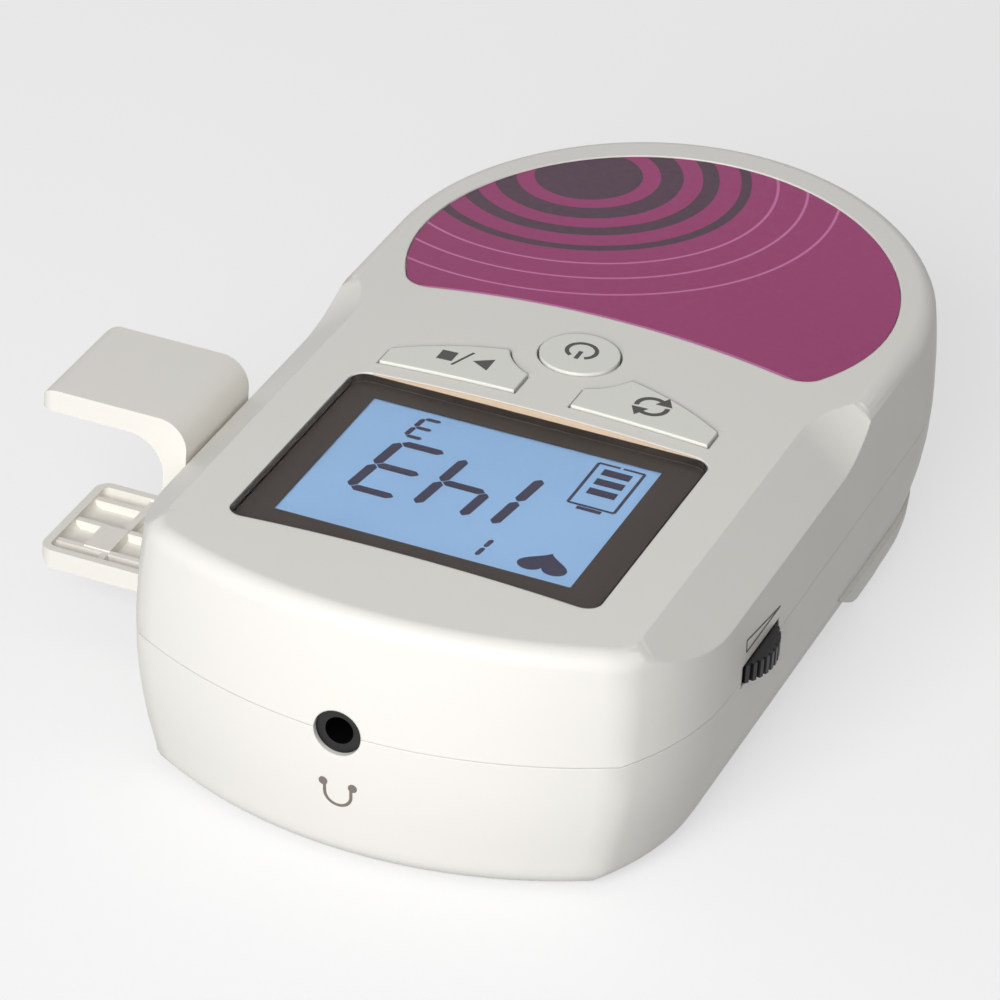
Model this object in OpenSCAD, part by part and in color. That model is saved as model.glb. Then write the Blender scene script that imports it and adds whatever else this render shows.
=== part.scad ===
// Pocket fetal doppler monitor: a hand-held case with a display, three keys, a volume
// thumbwheel, a headphone socket and a C-shaped probe holder on one side.
// Millimetres. +Z is up, +X is the volume wheel's side and -Y is the headphone end.
// The origin is the middle of the flat front part of the underside.

/* [Body outline] */
// Distance from the middle of the body to the foremost point
front_reach = 67.6; // [65:0.1:75]
// Middle of the round end along the body
round_y = 30.2; // [29.8:0.1:38]
// Room between the end of a cell and the face of the side wall
side_room = 12.25; // [12.05:0.05:15.25]
// Radius of the shallow front arc, seen from above
front_arc_r = 59; // [52:0.2:70]
// Radius of the two front corners, seen from above
corner_r = 36; // [33:0.5:39]
// Where the corner arc meets the front arc in a crease, measured sideways
corner_start_x = 31; // [30.4:0.1:31.6]

/* [Body height] */
// Height of the top at its middle line
top_z = 35; // [34.5:0.1:38]
// Height of the seam between the two shells
seam_z = 19; // [18.5:0.1:20]
// Depth of the battery bulge below the flat underside
bulge_depth = 5; // [4.6:0.1:6]
// Where the ramp of the bulge leaves the flat underside
bulge_start_y = 18.5; // [16:0.1:19]
// Where the ramp reaches the bottom of the bulge
bulge_full_y = 27.2; // [25:0.1:27.4]
// Radius of the sideways crown of the top
crown_r = 333; // [250:1:600]
// Thickness of the shells' walls
wall = 2; // [1.6:0.1:2.2]

/* [Edges and lean] */
// How far the upper walls lean in from the seam to the top
top_lean = 0.7; // [0.4:0.1:1.4]
// Radius of the top's edge
top_edge_r = 2.4; // [2.3:0.1:3.2]
// How far the lower walls lean in from the seam to the underside
bottom_lean = 1.8; // [1.5:0.1:2]
// Radius of the underside's edge
bottom_edge_r = 3.4; // [2.6:0.1:3.6]
// How much narrower the underside is on each side, beyond the lean
bottom_squeeze = 1; // [0.6:0.1:1.3]
// How far the bulge's walls stand in from the seam's outline
bulge_lean = 2.9; // [2.6:0.1:3.1]
// Radius of the bulge's edge
bulge_edge_r = 3; // [2.6:0.1:3.4]

/* [Side bevels] */
// Width of the bevels, seen from above
bevel_w = 6.6; // [6:0.1:7.5]
// How far the bevel's lower edge lies below the top
bevel_drop = 7.2; // [6:0.1:7.6]
// Where the bevel starts to run out towards the round end
bevel_end_y = 0; // [-3:0.5:4]
// Radius of the bevel's run-out
bevel_runout_r = 30; // [25:1:40]

/* [Display] */
// Width of the lens
lens_w = 47.1; // [46:0.1:48]
// Length of the lens along the body
lens_l = 38.2; // [37:0.1:38.6]
// Middle of the lens along the body
lens_y = -32.1; // [-33.5:0.1:-31.9]
// Thickness of the lens
lens_t = 1.4; // [1:0.1:1.6]
// Radius of the lens's corners
lens_corner_r = 2; // [1.5:0.1:3]
// Gap round the lens
lens_gap = 0.3; // [0.2:0.05:0.5]
// Width of the ledge that the lens lies on
ledge_w = 2.4; // [2:0.1:2.8]
// Thickness of the ledge under the lens
ledge_t = 1.4; // [1:0.1:1.6]
// How far the display glass reaches under the ledge
glass_lap = 0.65; // [0.4:0.05:1]
// Thickness of the display glass
glass_t = 2; // [1.6:0.1:2.2]
// Thickness of the backlight
backlight_t = 2.6; // [2:0.1:2.8]
// Wall of the display's frame
frame_wall = 1.2; // [1:0.1:1.4]

/* [Label] */
// Distance between the label's round side and the faces of the side walls
label_margin = 5.1; // [3.8:0.1:6]
// How far the label's round side lies in front of the case's round end
label_shift = 1.8; // [0:0.1:3]
// Where the label's lower edge crosses the middle line
label_edge_y = 13.4; // [12.6:0.1:15]
// Radius of the label's hollow lower edge
label_edge_r = 150; // [120:1:200]
// Radius of the label's two corners
label_corner_r = 4; // [3:0.5:5]
// Thickness of the label
label_t = 0.4; // [0.3:0.05:0.5]
// How far the label lies below the top
label_sink = 0.15; // [0.1:0.05:0.3]
// Gap round the label
label_gap = 0.15; // [0.1:0.05:0.3]

/* [Keys] */
// Middle of the round power key along the body
power_y = 2.7; // [2.6:0.1:3.2]
// Radius of the power key
power_r = 5.1; // [4.9:0.1:5.3]
// Radius of the hollow side of the wing keys, about the power key
wing_hollow_r = 8.8; // [8.6:0.1:9]
// Inner edge of a wing key, measured sideways from the middle
wing_in_x = 3.8; // [3.6:0.1:4.2]
// Outer edge of a wing key, measured sideways from the middle
wing_out_x = 21.9; // [21:0.1:22.5]
// Straight front edge of the wing keys
wing_front_y = -9.8; // [-9.9:0.1:-9.5]
// Centre of the wing keys' outer arc along the body
wing_arc_y = -38.9; // [-39.2:0.1:-38.6]
// Radius of the wing keys' outer arc
wing_arc_r = 39.3; // [39:0.1:39.6]
// How far the keys stand above the top
key_rise = 0.3; // [0.2:0.05:0.6]
// Gap round each key
key_gap = 0.3; // [0.25:0.05:0.35]
// Width of the lip that keeps a key in the shell
key_lip = 0.9; // [0.7:0.1:1.1]
// Thickness of a key's lip
key_lip_t = 1; // [0.8:0.1:1.2]
// Gap between a key's lip and the shell above it
key_lip_gap = 0.3; // [0.25:0.05:0.35]
// Press travel of the keys
key_travel = 0.5; // [0.3:0.05:0.6]
// Gap left above the switch when a key is fully pressed
key_reserve = 0.15; // [0.1:0.05:0.3]
// Radius of the stem under each key
key_stem_r = 1.6; // [1.4:0.1:1.8]

/* [Volume wheel] */
// Middle of the wheel along the body
wheel_y = -28.3; // [-29:0.1:-27.6]
// Radius of the wheel
wheel_r = 9; // [8.6:0.1:9.2]
// Thickness of the wheel
wheel_t = 2.4; // [2.2:0.1:2.5]
// How far the wheel stands out of the side wall
wheel_proud = 2; // [1.6:0.1:2.2]
// Length of the slot for the wheel
slot_l = 12.6; // [12.2:0.1:13.4]
// Height of the slot for the wheel
slot_h = 3; // [2.9:0.1:3.4]
// Clearance round the wheel's rim inside the walls
rim_fit = 0.4; // [0.3:0.05:0.6]
// Radius of the post that the wheel turns on
post_r = 2; // [1.6:0.1:2.2]
// Height of the wheel's middle above the seam
wheel_lift = 0.4; // [0.2:0.1:0.6]
// Running clearance of the wheel on its post
post_fit = 0.04; // [0.02:0.01:0.06]
// Depth of the grip grooves of the wheel
groove_d = 0.4; // [0.3:0.05:0.5]
// Number of grip grooves
groove_n = 48; // [40:1:60]

/* [Sockets] */
// Headphone socket's distance from the middle line
jack_x = -1.2; // [-2:0.1:0]
// Radius of the headphone socket's black ring
jack_ring_r = 3; // [2.8:0.1:3.4]
// How far the headphone socket's ring lies back from the wall's face
jack_sink = 0.8; // [0.4:0.1:1]
// Radius of the headphone socket's hole
jack_hole_r = 1.8; // [1.75:0.05:1.9]
// Depth of the headphone socket's hole
jack_depth = 14; // [12:0.5:15]
// Width and height of the headphone socket's block
jack_block = 7; // [6.8:0.1:7.4]
// Middle of the probe socket along the body
probe_y = 3.5; // [3:0.1:3.8]
// Radius of the probe socket's collar
probe_r = 4.6; // [4.2:0.1:5]
// Radius of the probe socket's hole
probe_hole_r = 3.4; // [3:0.1:3.6]
// Depth of the probe socket's hole
probe_depth = 8; // [7:0.5:9]

/* [Circuit board] */
// Height of the board's underside
board_z = 22.2; // [22:0.1:22.5]
// Thickness of the board
board_t = 1.6; // [1.2:0.1:1.6]
// Gap between the board's edge and the shells' inner walls
board_edge_gap = 1.8; // [1.5:0.1:2.5]
// Side of a key switch's square body
switch_w = 6; // [5.6:0.1:6.2]
// Height of a key switch's body
switch_h = 3.4; // [3:0.1:3.5]
// Radius of a key switch's plunger
plunger_r = 1.7; // [1.5:0.1:1.8]

/* [Screws] */
// Front screws' distance from the middle line
screw_front_x = 20; // [19.5:0.1:20.2]
// Front screws' place along the body
screw_front_y = -55.5; // [-55.7:0.1:-55.3]
// Rear screws' distance from the faces of the side walls
screw_side = 7.6; // [7.4:0.1:8]
// Rear screws' place along the body
screw_rear_y = 13; // [12.5:0.1:13.5]
// Radius of the screws' shanks
screw_r = 1.25; // [1.1:0.05:1.3]
// Radius of the screws' heads
screw_head_r = 2.4; // [2.2:0.1:2.5]
// Height of the screws' heads
screw_head_h = 1.8; // [1.5:0.1:2]
// Length of the screws under the head
screw_l = 15; // [14:0.5:16]
// Height at which the screws' heads are seated
screw_seat_z = 14; // [13:0.1:15]
// Wall round the screws' holes
boss_wall = 1.7; // [1.5:0.1:1.8]
// Clearance round the screws' shanks and heads
screw_fit = 0.3; // [0.2:0.05:0.4]

/* [Batteries] */
// Radius of a cell
cell_r = 7.15; // [7:0.05:7.2]
// Length of a cell without its button
cell_l = 49.5; // [49:0.1:49.8]
// Middle of the front cell along the body
cell_y = 29.8; // [29.7:0.1:29.9]
// Distance between the two cells
cell_pitch = 14.6; // [14.5:0.05:14.7]
// Clearance under and above the cells
cell_gap = 0.3; // [0.2:0.05:0.4]
// Room for a contact at each end of a cell
contact_room = 3.5; // [3.3:0.05:3.6]
// Front edge of the battery opening
cover_front_y = 21.2; // [21:0.1:21.4]
// Rear edge of the battery opening
cover_rear_y = 52.6; // [52.4:0.1:52.8]
// Gap round the battery cover
cover_gap = 0.3; // [0.2:0.05:0.4]
// How far the cover's corners wrap up the side of the bulge
cover_wrap = 2; // [1.6:0.1:2.2]
// Wall of the battery tray
tray_wall = 1.2; // [1:0.1:1.3]
// Thickness of the battery contacts
contact_t = 0.4; // [0.3:0.05:0.5]
// Half of the side of a battery contact
contact_half = 2.4; // [2.2:0.1:2.6]
// Radius of the contact springs
spring_r = 2.2; // [2:0.1:2.4]
// Wire of the contact springs
spring_wire = 0.5; // [0.4:0.05:0.6]

/* [Speaker] */
// Radius of the speaker
speaker_r = 13; // [12:0.5:13.5]
// Speaker's distance from the middle line
speaker_x = -6; // [-7:0.1:-5]
// Middle of the speaker along the body
speaker_y = -27; // [-28:0.1:-26]
// Height of the speaker
speaker_h = 4.6; // [4:0.1:5]
// Width of a grille slot
grille_w = 1.4; // [1.2:0.1:1.6]
// Distance between grille slots
grille_pitch = 3; // [2.8:0.1:3.4]
// Number of grille slots
grille_n = 7; // [5:2:7]

/* [Probe holder] */
// Middle of the holder along the body
holder_y = -24.4; // [-25:0.1:-23.6]
// Width of the holder along the body
holder_w = 18.3; // [16:0.1:19]
// Reach of the upper arm from the side wall
arm_reach = 20.2; // [18:0.1:23]
// Thickness of the upper arm and the stem
arm_t = 3; // [2.6:0.1:3.4]
// Height of the upper arm's top
arm_top_z = 33.1; // [31:0.1:34]
// Radius of the fillet between the arm and the stem
arm_fillet_r = 5; // [4:0.5:7]
// Radius of the round corner above the stem
arm_corner_r = 3.8; // [3:0.1:5]
// Radius of the top edge of the arm's tip
arm_tip_r = 2.5; // [2:0.1:2.8]
// Radius of the tips' corners, seen from above
tip_corner_r = 2; // [1:0.1:3]
// Reach of the lower tray from the side wall
tray_reach = 20; // [18:0.1:23]
// Height of the lower tray's rim
tray_top_z = 10; // [9:0.1:12]
// Height of the lower tray
tray_h = 2.6; // [2.4:0.1:3]
// Radius of the lower edge of the tray's tip
tray_edge_r = 2.3; // [1.6:0.1:2.4]
// Width of the lower tray's rim
tray_rim = 1.1; // [0.9:0.1:1.3]
// Floor of the lower tray
tray_floor = 1; // [0.8:0.1:1.2]
// Distance between the ribs of the lower tray
rib_pitch = 5.6; // [5:0.1:5.8]
// Thickness of the ribs of the lower tray
rib_t = 0.9; // [0.7:0.1:1.1]
// Depth of the ribs below the tray's rim
rib_drop = 0.4; // [0.3:0.1:0.6]
// Reach of the middle of the small block on a rib
block_reach = 13.4; // [10:0.1:14]
// Length of the small block
block_l = 3.6; // [2:0.1:5]
// Half of the width of the holder's tongue in the shell
tongue_half_w = 5; // [4:0.1:6]
// Height of the holder's tongue in the shell
tongue_h = 4; // [3:0.1:4.4]
// Clearance round the holder's tongue
tongue_fit = 0.15; // [0.1:0.05:0.3]

/* [Hidden] */
$fn = 96;
eps = 0.01;
far = 200;

// Half of the width across the side walls, which the cells across the case set
half_width = cell_l / 2 + side_room;

// The centres of the front and corner arcs
front_c_y = front_arc_r - front_reach;
corner_c_x = half_width - corner_r;
front_join_y = front_c_y - sqrt(front_arc_r^2 - corner_start_x^2);
corner_c_y = front_join_y + sqrt(corner_r^2 - (corner_start_x - corner_c_x)^2);

function crown_drop(x) = crown_r - sqrt(crown_r^2 - x^2);

// Half of the body's outline, from the front middle to the rear middle, moved in by d
front_steps = 12;
corner_steps = 8;
round_steps = 24;
join_gap = norm([corner_c_x, corner_c_y - front_c_y]);
join_turn = atan2(corner_c_x, front_c_y - corner_c_y);
function join_angle(d) =
    let (a = front_arc_r - d, b = corner_r - d)
    join_turn + acos((a^2 + join_gap^2 - b^2) / (2 * a * join_gap));
function corner_angle(d) =
    let (a = front_arc_r - d, b = corner_r - d, t = join_angle(d))
    asin((a * sin(t) - corner_c_x) / b);
function half_outline(d) = [
    for (i = [0:front_steps])
        let (t = join_angle(d) * i / front_steps)
        [(front_arc_r - d) * sin(t), front_c_y - (front_arc_r - d) * cos(t)],
    for (i = [1:corner_steps])
        let (s = corner_angle(d), t = s + (90 - s) * i / corner_steps)
        [corner_c_x + (corner_r - d) * sin(t), corner_c_y - (corner_r - d) * cos(t)],
    for (i = [0:round_steps])
        let (t = 90 * i / round_steps)
        [(half_width - d) * cos(t), round_y + (half_width - d) * sin(t)]
];
function full_outline(d) =
    let (h = half_outline(d), m = len(h))
    concat(h, [for (i = [m - 2:-1:1]) [-h[i].x, h[i].y]]);

// A stack of outlines. Each level is [height, move in, narrowing, share of the crown].
function level_ring(l) = [for (p = full_outline(l[1]))
    let (x = p.x * (1 - l[2] / half_width)) [x, p.y, l[0] - l[3] * crown_drop(x)]];
cap_steps = 20;
function cap_rows(l) = [for (p = half_outline(l[1]))
    let (w = p.x * (1 - l[2] / half_width))
    for (j = [1:cap_steps - 1])
        let (x = w * (1 - 2 * j / cap_steps)) [x, p.y, l[0] - l[3] * crown_drop(x)]];
module stack(levels) {
    n = len(full_outline(0));
    m = len(half_outline(0));
    k = len(levels);
    top = levels[k - 1];
    inner = cap_steps - 1;
    points = concat([for (l = levels) each level_ring(l)], cap_rows(top));
    // Index of the top's point in row i and column j, where rows run from front to rear
    function top_index(i, j) =
        i == 0 || i == m - 1 ? (k - 1) * n + i
        : j == 0 ? (k - 1) * n + i
        : j == cap_steps ? (k - 1) * n + (n - i)
        : k * n + i * inner + j - 1;
    sides = [for (r = [0:k - 2], i = [0:n - 1])
        let (a = r * n + i, b = r * n + (i + 1) % n)
        each [[a, a + n, b], [b, a + n, b + n]]];
    ends = [for (j = [0:cap_steps - 1])
        each [[top_index(0, 0), top_index(1, j + 1), top_index(1, j)],
              [top_index(m - 1, 0), top_index(m - 2, j), top_index(m - 2, j + 1)]]];
    middle = [for (i = [1:m - 3], j = [0:cap_steps - 1])
        let (a = top_index(i, j), b = top_index(i, j + 1),
             c = top_index(i + 1, j), d = top_index(i + 1, j + 1))
        each [[a, b, c], [c, b, d]]];
    base = [[for (i = [0:n - 1]) i]];
    lid = [[for (i = [n - 1:-1:0]) (k - 1) * n + i]];
    used = top[3] == 0 ? concat(sides, lid, base) : concat(sides, ends, middle, base);
    polyhedron(points, used, convexity = 8);
}

// The shells' levels, moved in by m for the inner faces
lean_steps = 4;
edge_steps = 5;
function upper_levels(m, start_z) =
    let (r = max(top_edge_r - m, 0.6), bend_z = top_z - m - r)
    [for (i = [0:lean_steps]) let (u = i / lean_steps)
        [start_z + (bend_z - start_z) * u, m + top_lean * u^2, 0, u^2],
     for (i = [1:edge_steps]) let (t = 90 * i / edge_steps)
        [bend_z + r * sin(t), m + top_lean + r * (1 - cos(t)), 0, 1]];
function lower_levels(m, base_z, lean, edge_r, end_z, end_lean) =
    let (r = max(edge_r - m, 0.8))
    [for (i = [0:edge_steps]) let (t = 90 * i / edge_steps)
        [base_z + m + r * (1 - cos(t)), m + lean + r * (1 - sin(t)), bottom_squeeze, 0],
     for (i = [1:lean_steps]) let (u = i / lean_steps, v = (1 - u)^2, z = base_z + m + r)
        [z + (end_z - z) * u, m + end_lean + (lean - end_lean) * v, bottom_squeeze * v, 0]];

bevel_in_x = half_width - bevel_w;
bevel_tilt = atan2(bevel_drop - crown_drop(bevel_in_x), half_width - bevel_in_x);
module bevel_cuts(m) {
    for (side = [0, 1])
        mirror([side, 0, 0])
            translate([bevel_in_x, 0, top_z - crown_drop(bevel_in_x)])
                rotate([0, bevel_tilt, 0])
                    translate([-half_width / 2, 0, -m])
                        rotate([90, 0, 90])
                            linear_extrude(half_width) bevel_side();
}
module bevel_side() {
    translate([-far, 0]) square([far + bevel_end_y, bevel_runout_r]);
    translate([bevel_end_y, bevel_runout_r]) circle(r = bevel_runout_r, $fn = 192);
}

module upper_solid(m, start_z) {
    difference() {
        stack(upper_levels(m, start_z));
        bevel_cuts(m);
    }
}

// The bulge keeps only what lies behind its ramp
bulge_top_z = 5;
bulge_inset = 0.2;
bulge_top_lean = bottom_lean - bulge_inset;
ramp_tilt = atan2(bulge_depth, bulge_full_y - bulge_start_y);
module bulge_solid(m) {
    difference() {
        stack(lower_levels(m, -bulge_depth, bulge_lean, bulge_edge_r, bulge_top_z, bulge_top_lean));
        translate([0, bulge_start_y, 0])
            rotate([-ramp_tilt, 0, 0])
                translate([-far / 2, -far, -far + m]) cube([far, 2 * far, far]);
    }
}
module lower_solid(m, end_z) {
    stack(lower_levels(m, 0, bottom_lean, bottom_edge_r, end_z, 0));
    bulge_solid(m);
}

// The space between two depths below the crowned top
module under_top(low, high) {
    translate([0, 0, top_z - crown_r])
        rotate([90, 0, 0])
            difference() {
                cylinder(r = crown_r - high, h = far, center = true, $fn = 720);
                cylinder(r = crown_r - low, h = far + 1, center = true, $fn = 720);
            }
}
module below_top(depth) {
    translate([0, 0, top_z - crown_r])
        rotate([90, 0, 0])
            cylinder(r = crown_r - depth, h = far, center = true, $fn = 720);
}

// A rectangle with round corners, built from plain shapes
module round_rect(w, l, r) {
    square([w - 2 * r, l], center = true);
    square([w, l - 2 * r], center = true);
    for (x = [-1, 1], y = [-1, 1])
        translate([x * (w / 2 - r), y * (l / 2 - r)]) circle(r = r, $fn = 48);
}

// Display places, from the top down
lens_top_z = top_z - crown_drop(lens_w / 2);
lens_z = lens_top_z - lens_t;
ledge_z = lens_z - ledge_t;
glass_z = ledge_z - glass_t;
light_z = glass_z - backlight_t;
board_top_z = board_z + board_t;
window_w = lens_w - 2 * ledge_w;
window_l = lens_l - 2 * ledge_w;
glass_w = window_w + 2 * glass_lap;
glass_l = window_l + 2 * glass_lap;
frame_w = glass_w + 2 * frame_wall;
frame_l = glass_l + 2 * frame_wall;

// The label's outline, grown by g: a round arc, two corners and a hollow lower edge.
// Each corner's circle touches the arc and the lower edge.
label_r = half_width - label_margin;
label_mid_y = round_y - label_shift;
label_edge_c = [0, label_edge_y - label_edge_r];
label_corner_c = let (a = label_r - label_corner_r, b = label_edge_r + label_corner_r,
    g = label_mid_y - label_edge_c.y, c = (b^2 + g^2 - a^2) / (2 * g))
    [sqrt(b^2 - c^2), label_edge_c.y + c];
function turn_of(v) = atan2(v.y, v.x);
function arc_points(centre, r, from, to, steps) = [for (i = [0:steps])
    let (t = from + (to - from) * i / steps) centre + r * [cos(t), sin(t)]];
function label_outline(g) =
    let (side = turn_of(label_corner_c - [0, label_mid_y]),
        edge = turn_of(label_corner_c - label_edge_c),
        corner = arc_points(label_corner_c, label_corner_r + g, edge - 180, side, 8),
        arc = arc_points([0, label_mid_y], label_r + g, side, 180 - side, 60),
        low = arc_points(label_edge_c, label_edge_r - g, 180 - edge, edge, 20),
        left = [for (i = [8:-1:0]) [-corner[i].x, corner[i].y]])
    concat(corner, [for (i = [1:59]) arc[i]], left, [for (i = [1:19]) low[i]]);
module label_shape(g) {
    polygon(label_outline(g));
}

// Key outlines, grown by g
module power_shape(g) {
    translate([0, power_y]) circle(r = power_r + g);
}
module wing_shape(g) {
    intersection() {
        translate([wing_in_x - g, wing_front_y - g])
            square([wing_out_x - wing_in_x + 2 * g, wing_arc_r]);
        difference() {
            translate([0, wing_arc_y]) circle(r = wing_arc_r + g, $fn = 192);
            translate([0, power_y]) circle(r = wing_hollow_r - g);
        }
    }
}
wing_stem_back = 1;
wing_stem = [(wing_in_x + wing_out_x) / 2, wing_front_y / 2 - wing_stem_back];
lip_top = wall + key_lip_gap;
lip_top_z = top_z - lip_top - crown_drop(wing_out_x);
lip_z = lip_top_z - key_lip_t;
stem_drop = 1;
plunger_top_z = lip_z - stem_drop;
stem_z = plunger_top_z + key_travel + key_reserve;

// Wheel places
wheel_x = half_width + wheel_proud - wheel_r;
wheel_z = seam_z + wheel_lift;
pot_gap = 0.3;

// Screw places and their bosses
screw_rear_x = half_width - screw_side;
screw_spots = [[screw_front_x, screw_front_y], [-screw_front_x, screw_front_y],
    [screw_rear_x, screw_rear_y], [-screw_rear_x, screw_rear_y]];
boss_r = screw_r + screw_fit + boss_wall;
well_r = screw_head_r + screw_fit;
pilot_fit = 0.05;
pilot_room = 0.5;
screw_end_z = screw_seat_z + screw_l;
well_wall = 1.2;

// Battery places
cell_z = -bulge_depth + wall + cell_gap + cell_r;
tray_in_z = cell_z + cell_r + cell_gap;
tray_gap = 0.5;
tray_in_x = cell_l / 2 + contact_room;
cover_half_w = tray_in_x - tray_gap;
contact_x = tray_in_x - contact_t;
button_h = 1;
button_r = 2.7;
nub_r = 1.6;
cell_ys = [cell_y, cell_y + cell_pitch];
module cover_region(g) {
    translate([-cover_half_w - g, cover_front_y - g, -bulge_depth - 1])
        cube([2 * (cover_half_w + g), cover_rear_y - cover_front_y + 2 * g,
            bulge_depth + 1 + cover_wrap + g]);
}

// Sockets in the walls
ring_fit = 0.05;
module jack_bore(r) {
    translate([jack_x, -front_reach - 1, seam_z]) rotate([-90, 0, 0]) cylinder(r = r, h = wall * 3);
}
module probe_bore(r) {
    translate([-half_width - 1, probe_y, seam_z]) rotate([0, 90, 0]) cylinder(r = r, h = wall * 3);
}
module wheel_slot() {
    translate([half_width - 2 * wall, wheel_y - slot_l / 2, wheel_z - slot_h / 2])
        cube([4 * wall, slot_l, slot_h]);
    translate([wheel_x, wheel_y, wheel_z - slot_h / 2]) cylinder(r = wheel_r + rim_fit, h = slot_h);
}

// The case
module upper_shell() color("#e4e1da") {
    difference() {
        upper_solid(0, seam_z);
        difference() {
            upper_solid(wall, seam_z - 1);
            display_rim();
            upper_bosses();
        }
        lens_pocket();
        linear_extrude(far) power_shape(key_gap);
        linear_extrude(far) wing_shape(key_gap);
        mirror([1, 0, 0]) linear_extrude(far) wing_shape(key_gap);
        intersection() {
            linear_extrude(far) label_shape(label_gap);
            under_top(label_sink + label_t, -far / 4);
        }
        for (p = screw_spots) translate([p.x, p.y, 0]) {
            cylinder(r = screw_r + screw_fit, h = board_top_z);
            cylinder(r = screw_r + pilot_fit, h = screw_end_z + pilot_room);
        }
        jack_bore(jack_ring_r + ring_fit);
        probe_bore(probe_r + ring_fit);
        wheel_slot();
    }
}
module upper_bosses() {
    for (p = screw_spots)
        translate([p.x, p.y, board_top_z]) cylinder(r = boss_r, h = far);
}
// A thicker border under the lens that carries its ledge
rim_wall = 1.7;
window_corner_r = 1;
module display_rim() {
    translate([0, lens_y, ledge_z])
        linear_extrude(far)
            round_rect(lens_w + 2 * rim_wall, lens_l + 2 * rim_wall, lens_corner_r + rim_wall);
}
module lens_pocket() {
    translate([0, lens_y, lens_z])
        linear_extrude(far)
            round_rect(lens_w + 2 * lens_gap, lens_l + 2 * lens_gap, lens_corner_r + lens_gap);
    translate([0, lens_y, 0]) linear_extrude(far)
        round_rect(window_w, window_l, window_corner_r);
}

module lower_shell() color("#e0ddd6") {
    difference() {
        union() {
            difference() {
                lower_solid(0, seam_z);
                difference() {
                    lower_solid(wall, seam_z + 1);
                    lower_bosses(0);
                }
            }
            lower_bosses(screw_seat_z);
        }
        for (p = screw_spots) translate([p.x, p.y, 0]) screw_well();
        cover_region(cover_gap);
        jack_bore(jack_ring_r + ring_fit);
        probe_bore(probe_r + ring_fit);
        wheel_slot();
        grille();
        tongue(tongue_fit);
    }
}
module lower_bosses(from_z) {
    for (p = screw_spots)
        translate([p.x, p.y, from_z]) cylinder(r = well_r + well_wall, h = board_z - from_z);
}
module screw_well() {
    translate([0, 0, -1]) cylinder(r = well_r, h = screw_seat_z + 1);
    cylinder(r = screw_r + screw_fit, h = far);
}
grille_margin = 2;
module grille() {
    for (i = [0:grille_n - 1]) {
        y = (i - (grille_n - 1) / 2) * grille_pitch;
        half = sqrt((speaker_r - grille_margin)^2 - y^2);
        translate([speaker_x - half, speaker_y + y - grille_w / 2, -1])
            cube([2 * half, grille_w, wall + 2]);
    }
}

module battery_cover() color("#dcd9d2") {
    difference() {
        intersection() {
            lower_solid(0, seam_z);
            cover_region(0);
        }
        lower_solid(wall, seam_z + 1);
    }
}
tray_fit = 0.05;
module battery_tray() color("#cfccc6") {
    difference() {
        intersection() {
            lower_solid(wall + tray_fit, seam_z + 1);
            tray_block(tray_wall, tray_wall);
        }
        tray_block(0, 0);
    }
}
module tray_block(side, above) {
    half = tray_in_x + side;
    translate([-half, cover_front_y - tray_gap - side, -bulge_depth - 1])
        cube([2 * half, cover_rear_y - cover_front_y + 2 * (tray_gap + side),
            bulge_depth + 1 + tray_in_z + above]);
}

// The probe holder: a bent arm and a ribbed tray on one stem, with a tongue in the side wall.
// Its outlines lie in a plane with x measured away from the body and y upwards.
holder_gap = 0.1;
stem_x = half_width + holder_gap;
tray_low_z = tray_top_z - tray_h;
tongue_drop = 2;
module tongue(fit) {
    depth = 2 * wall;
    translate([-stem_x - eps, holder_y - tongue_half_w - fit, seam_z - tongue_h - tongue_drop - fit])
        cube([depth, 2 * (tongue_half_w + fit), tongue_h + 2 * fit]);
}
// A square corner that is left outside a circle, turned by a
module round_off(r, a) {
    rotate([0, 0, a])
        difference() {
            translate([-eps, -eps]) square(r + 2 * eps);
            circle(r = r);
        }
}
module arm_side() {
    arm_low_z = arm_top_z - arm_t;
    difference() {
        union() {
            translate([0, tray_low_z]) square([arm_t, arm_top_z - tray_low_z]);
            translate([0, arm_low_z]) square([arm_reach, arm_t]);
            difference() {
                translate([arm_t - eps, arm_low_z - arm_fillet_r]) square(arm_fillet_r + eps);
                translate([arm_t + arm_fillet_r, arm_low_z - arm_fillet_r]) circle(r = arm_fillet_r);
            }
        }
        translate([arm_corner_r, arm_top_z - arm_corner_r]) round_off(arm_corner_r, 90);
        translate([arm_reach - arm_tip_r, arm_top_z - arm_tip_r]) round_off(arm_tip_r, 0);
    }
}
module tray_side(low) {
    difference() {
        translate([0, tray_low_z + low]) square([tray_reach - low, tray_h]);
        translate([tray_reach - tray_edge_r, tray_low_z + tray_edge_r])
            round_off(tray_edge_r - low, -90);
    }
}
// The plan of the arm or the tray, moved in by m, with two round corners at its tip
module tip_plan(reach, m) {
    r = tip_corner_r - m;
    w = holder_w / 2 - m;
    translate([-1, -w]) square([reach - m - r + 1, 2 * w]);
    translate([0, -w + r]) square([reach - m, 2 * (w - r)]);
    for (side = [-1, 1]) translate([reach - m - r, side * (w - r)]) circle(r = r, $fn = 48);
}
module holder_slab(reach) {
    intersection() {
        rotate([90, 0, 0]) translate([0, 0, -far / 2]) linear_extrude(far) children();
        linear_extrude(far) tip_plan(reach, 0);
    }
}
module probe_holder() color("#e6e3dc") {
    translate([-stem_x, holder_y, 0])
        rotate([0, 0, 180]) {
            holder_slab(arm_reach) arm_side();
            difference() {
                holder_slab(tray_reach) tray_side(0);
                intersection() {
                    rotate([90, 0, 0])
                        translate([0, 0, -far / 2]) linear_extrude(far) tray_side(tray_floor);
                    translate([arm_t, 0, 0]) linear_extrude(far) tip_plan(tray_reach - arm_t, tray_rim);
                }
            }
            tray_ribs();
        }
    tongue(0);
}
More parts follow.
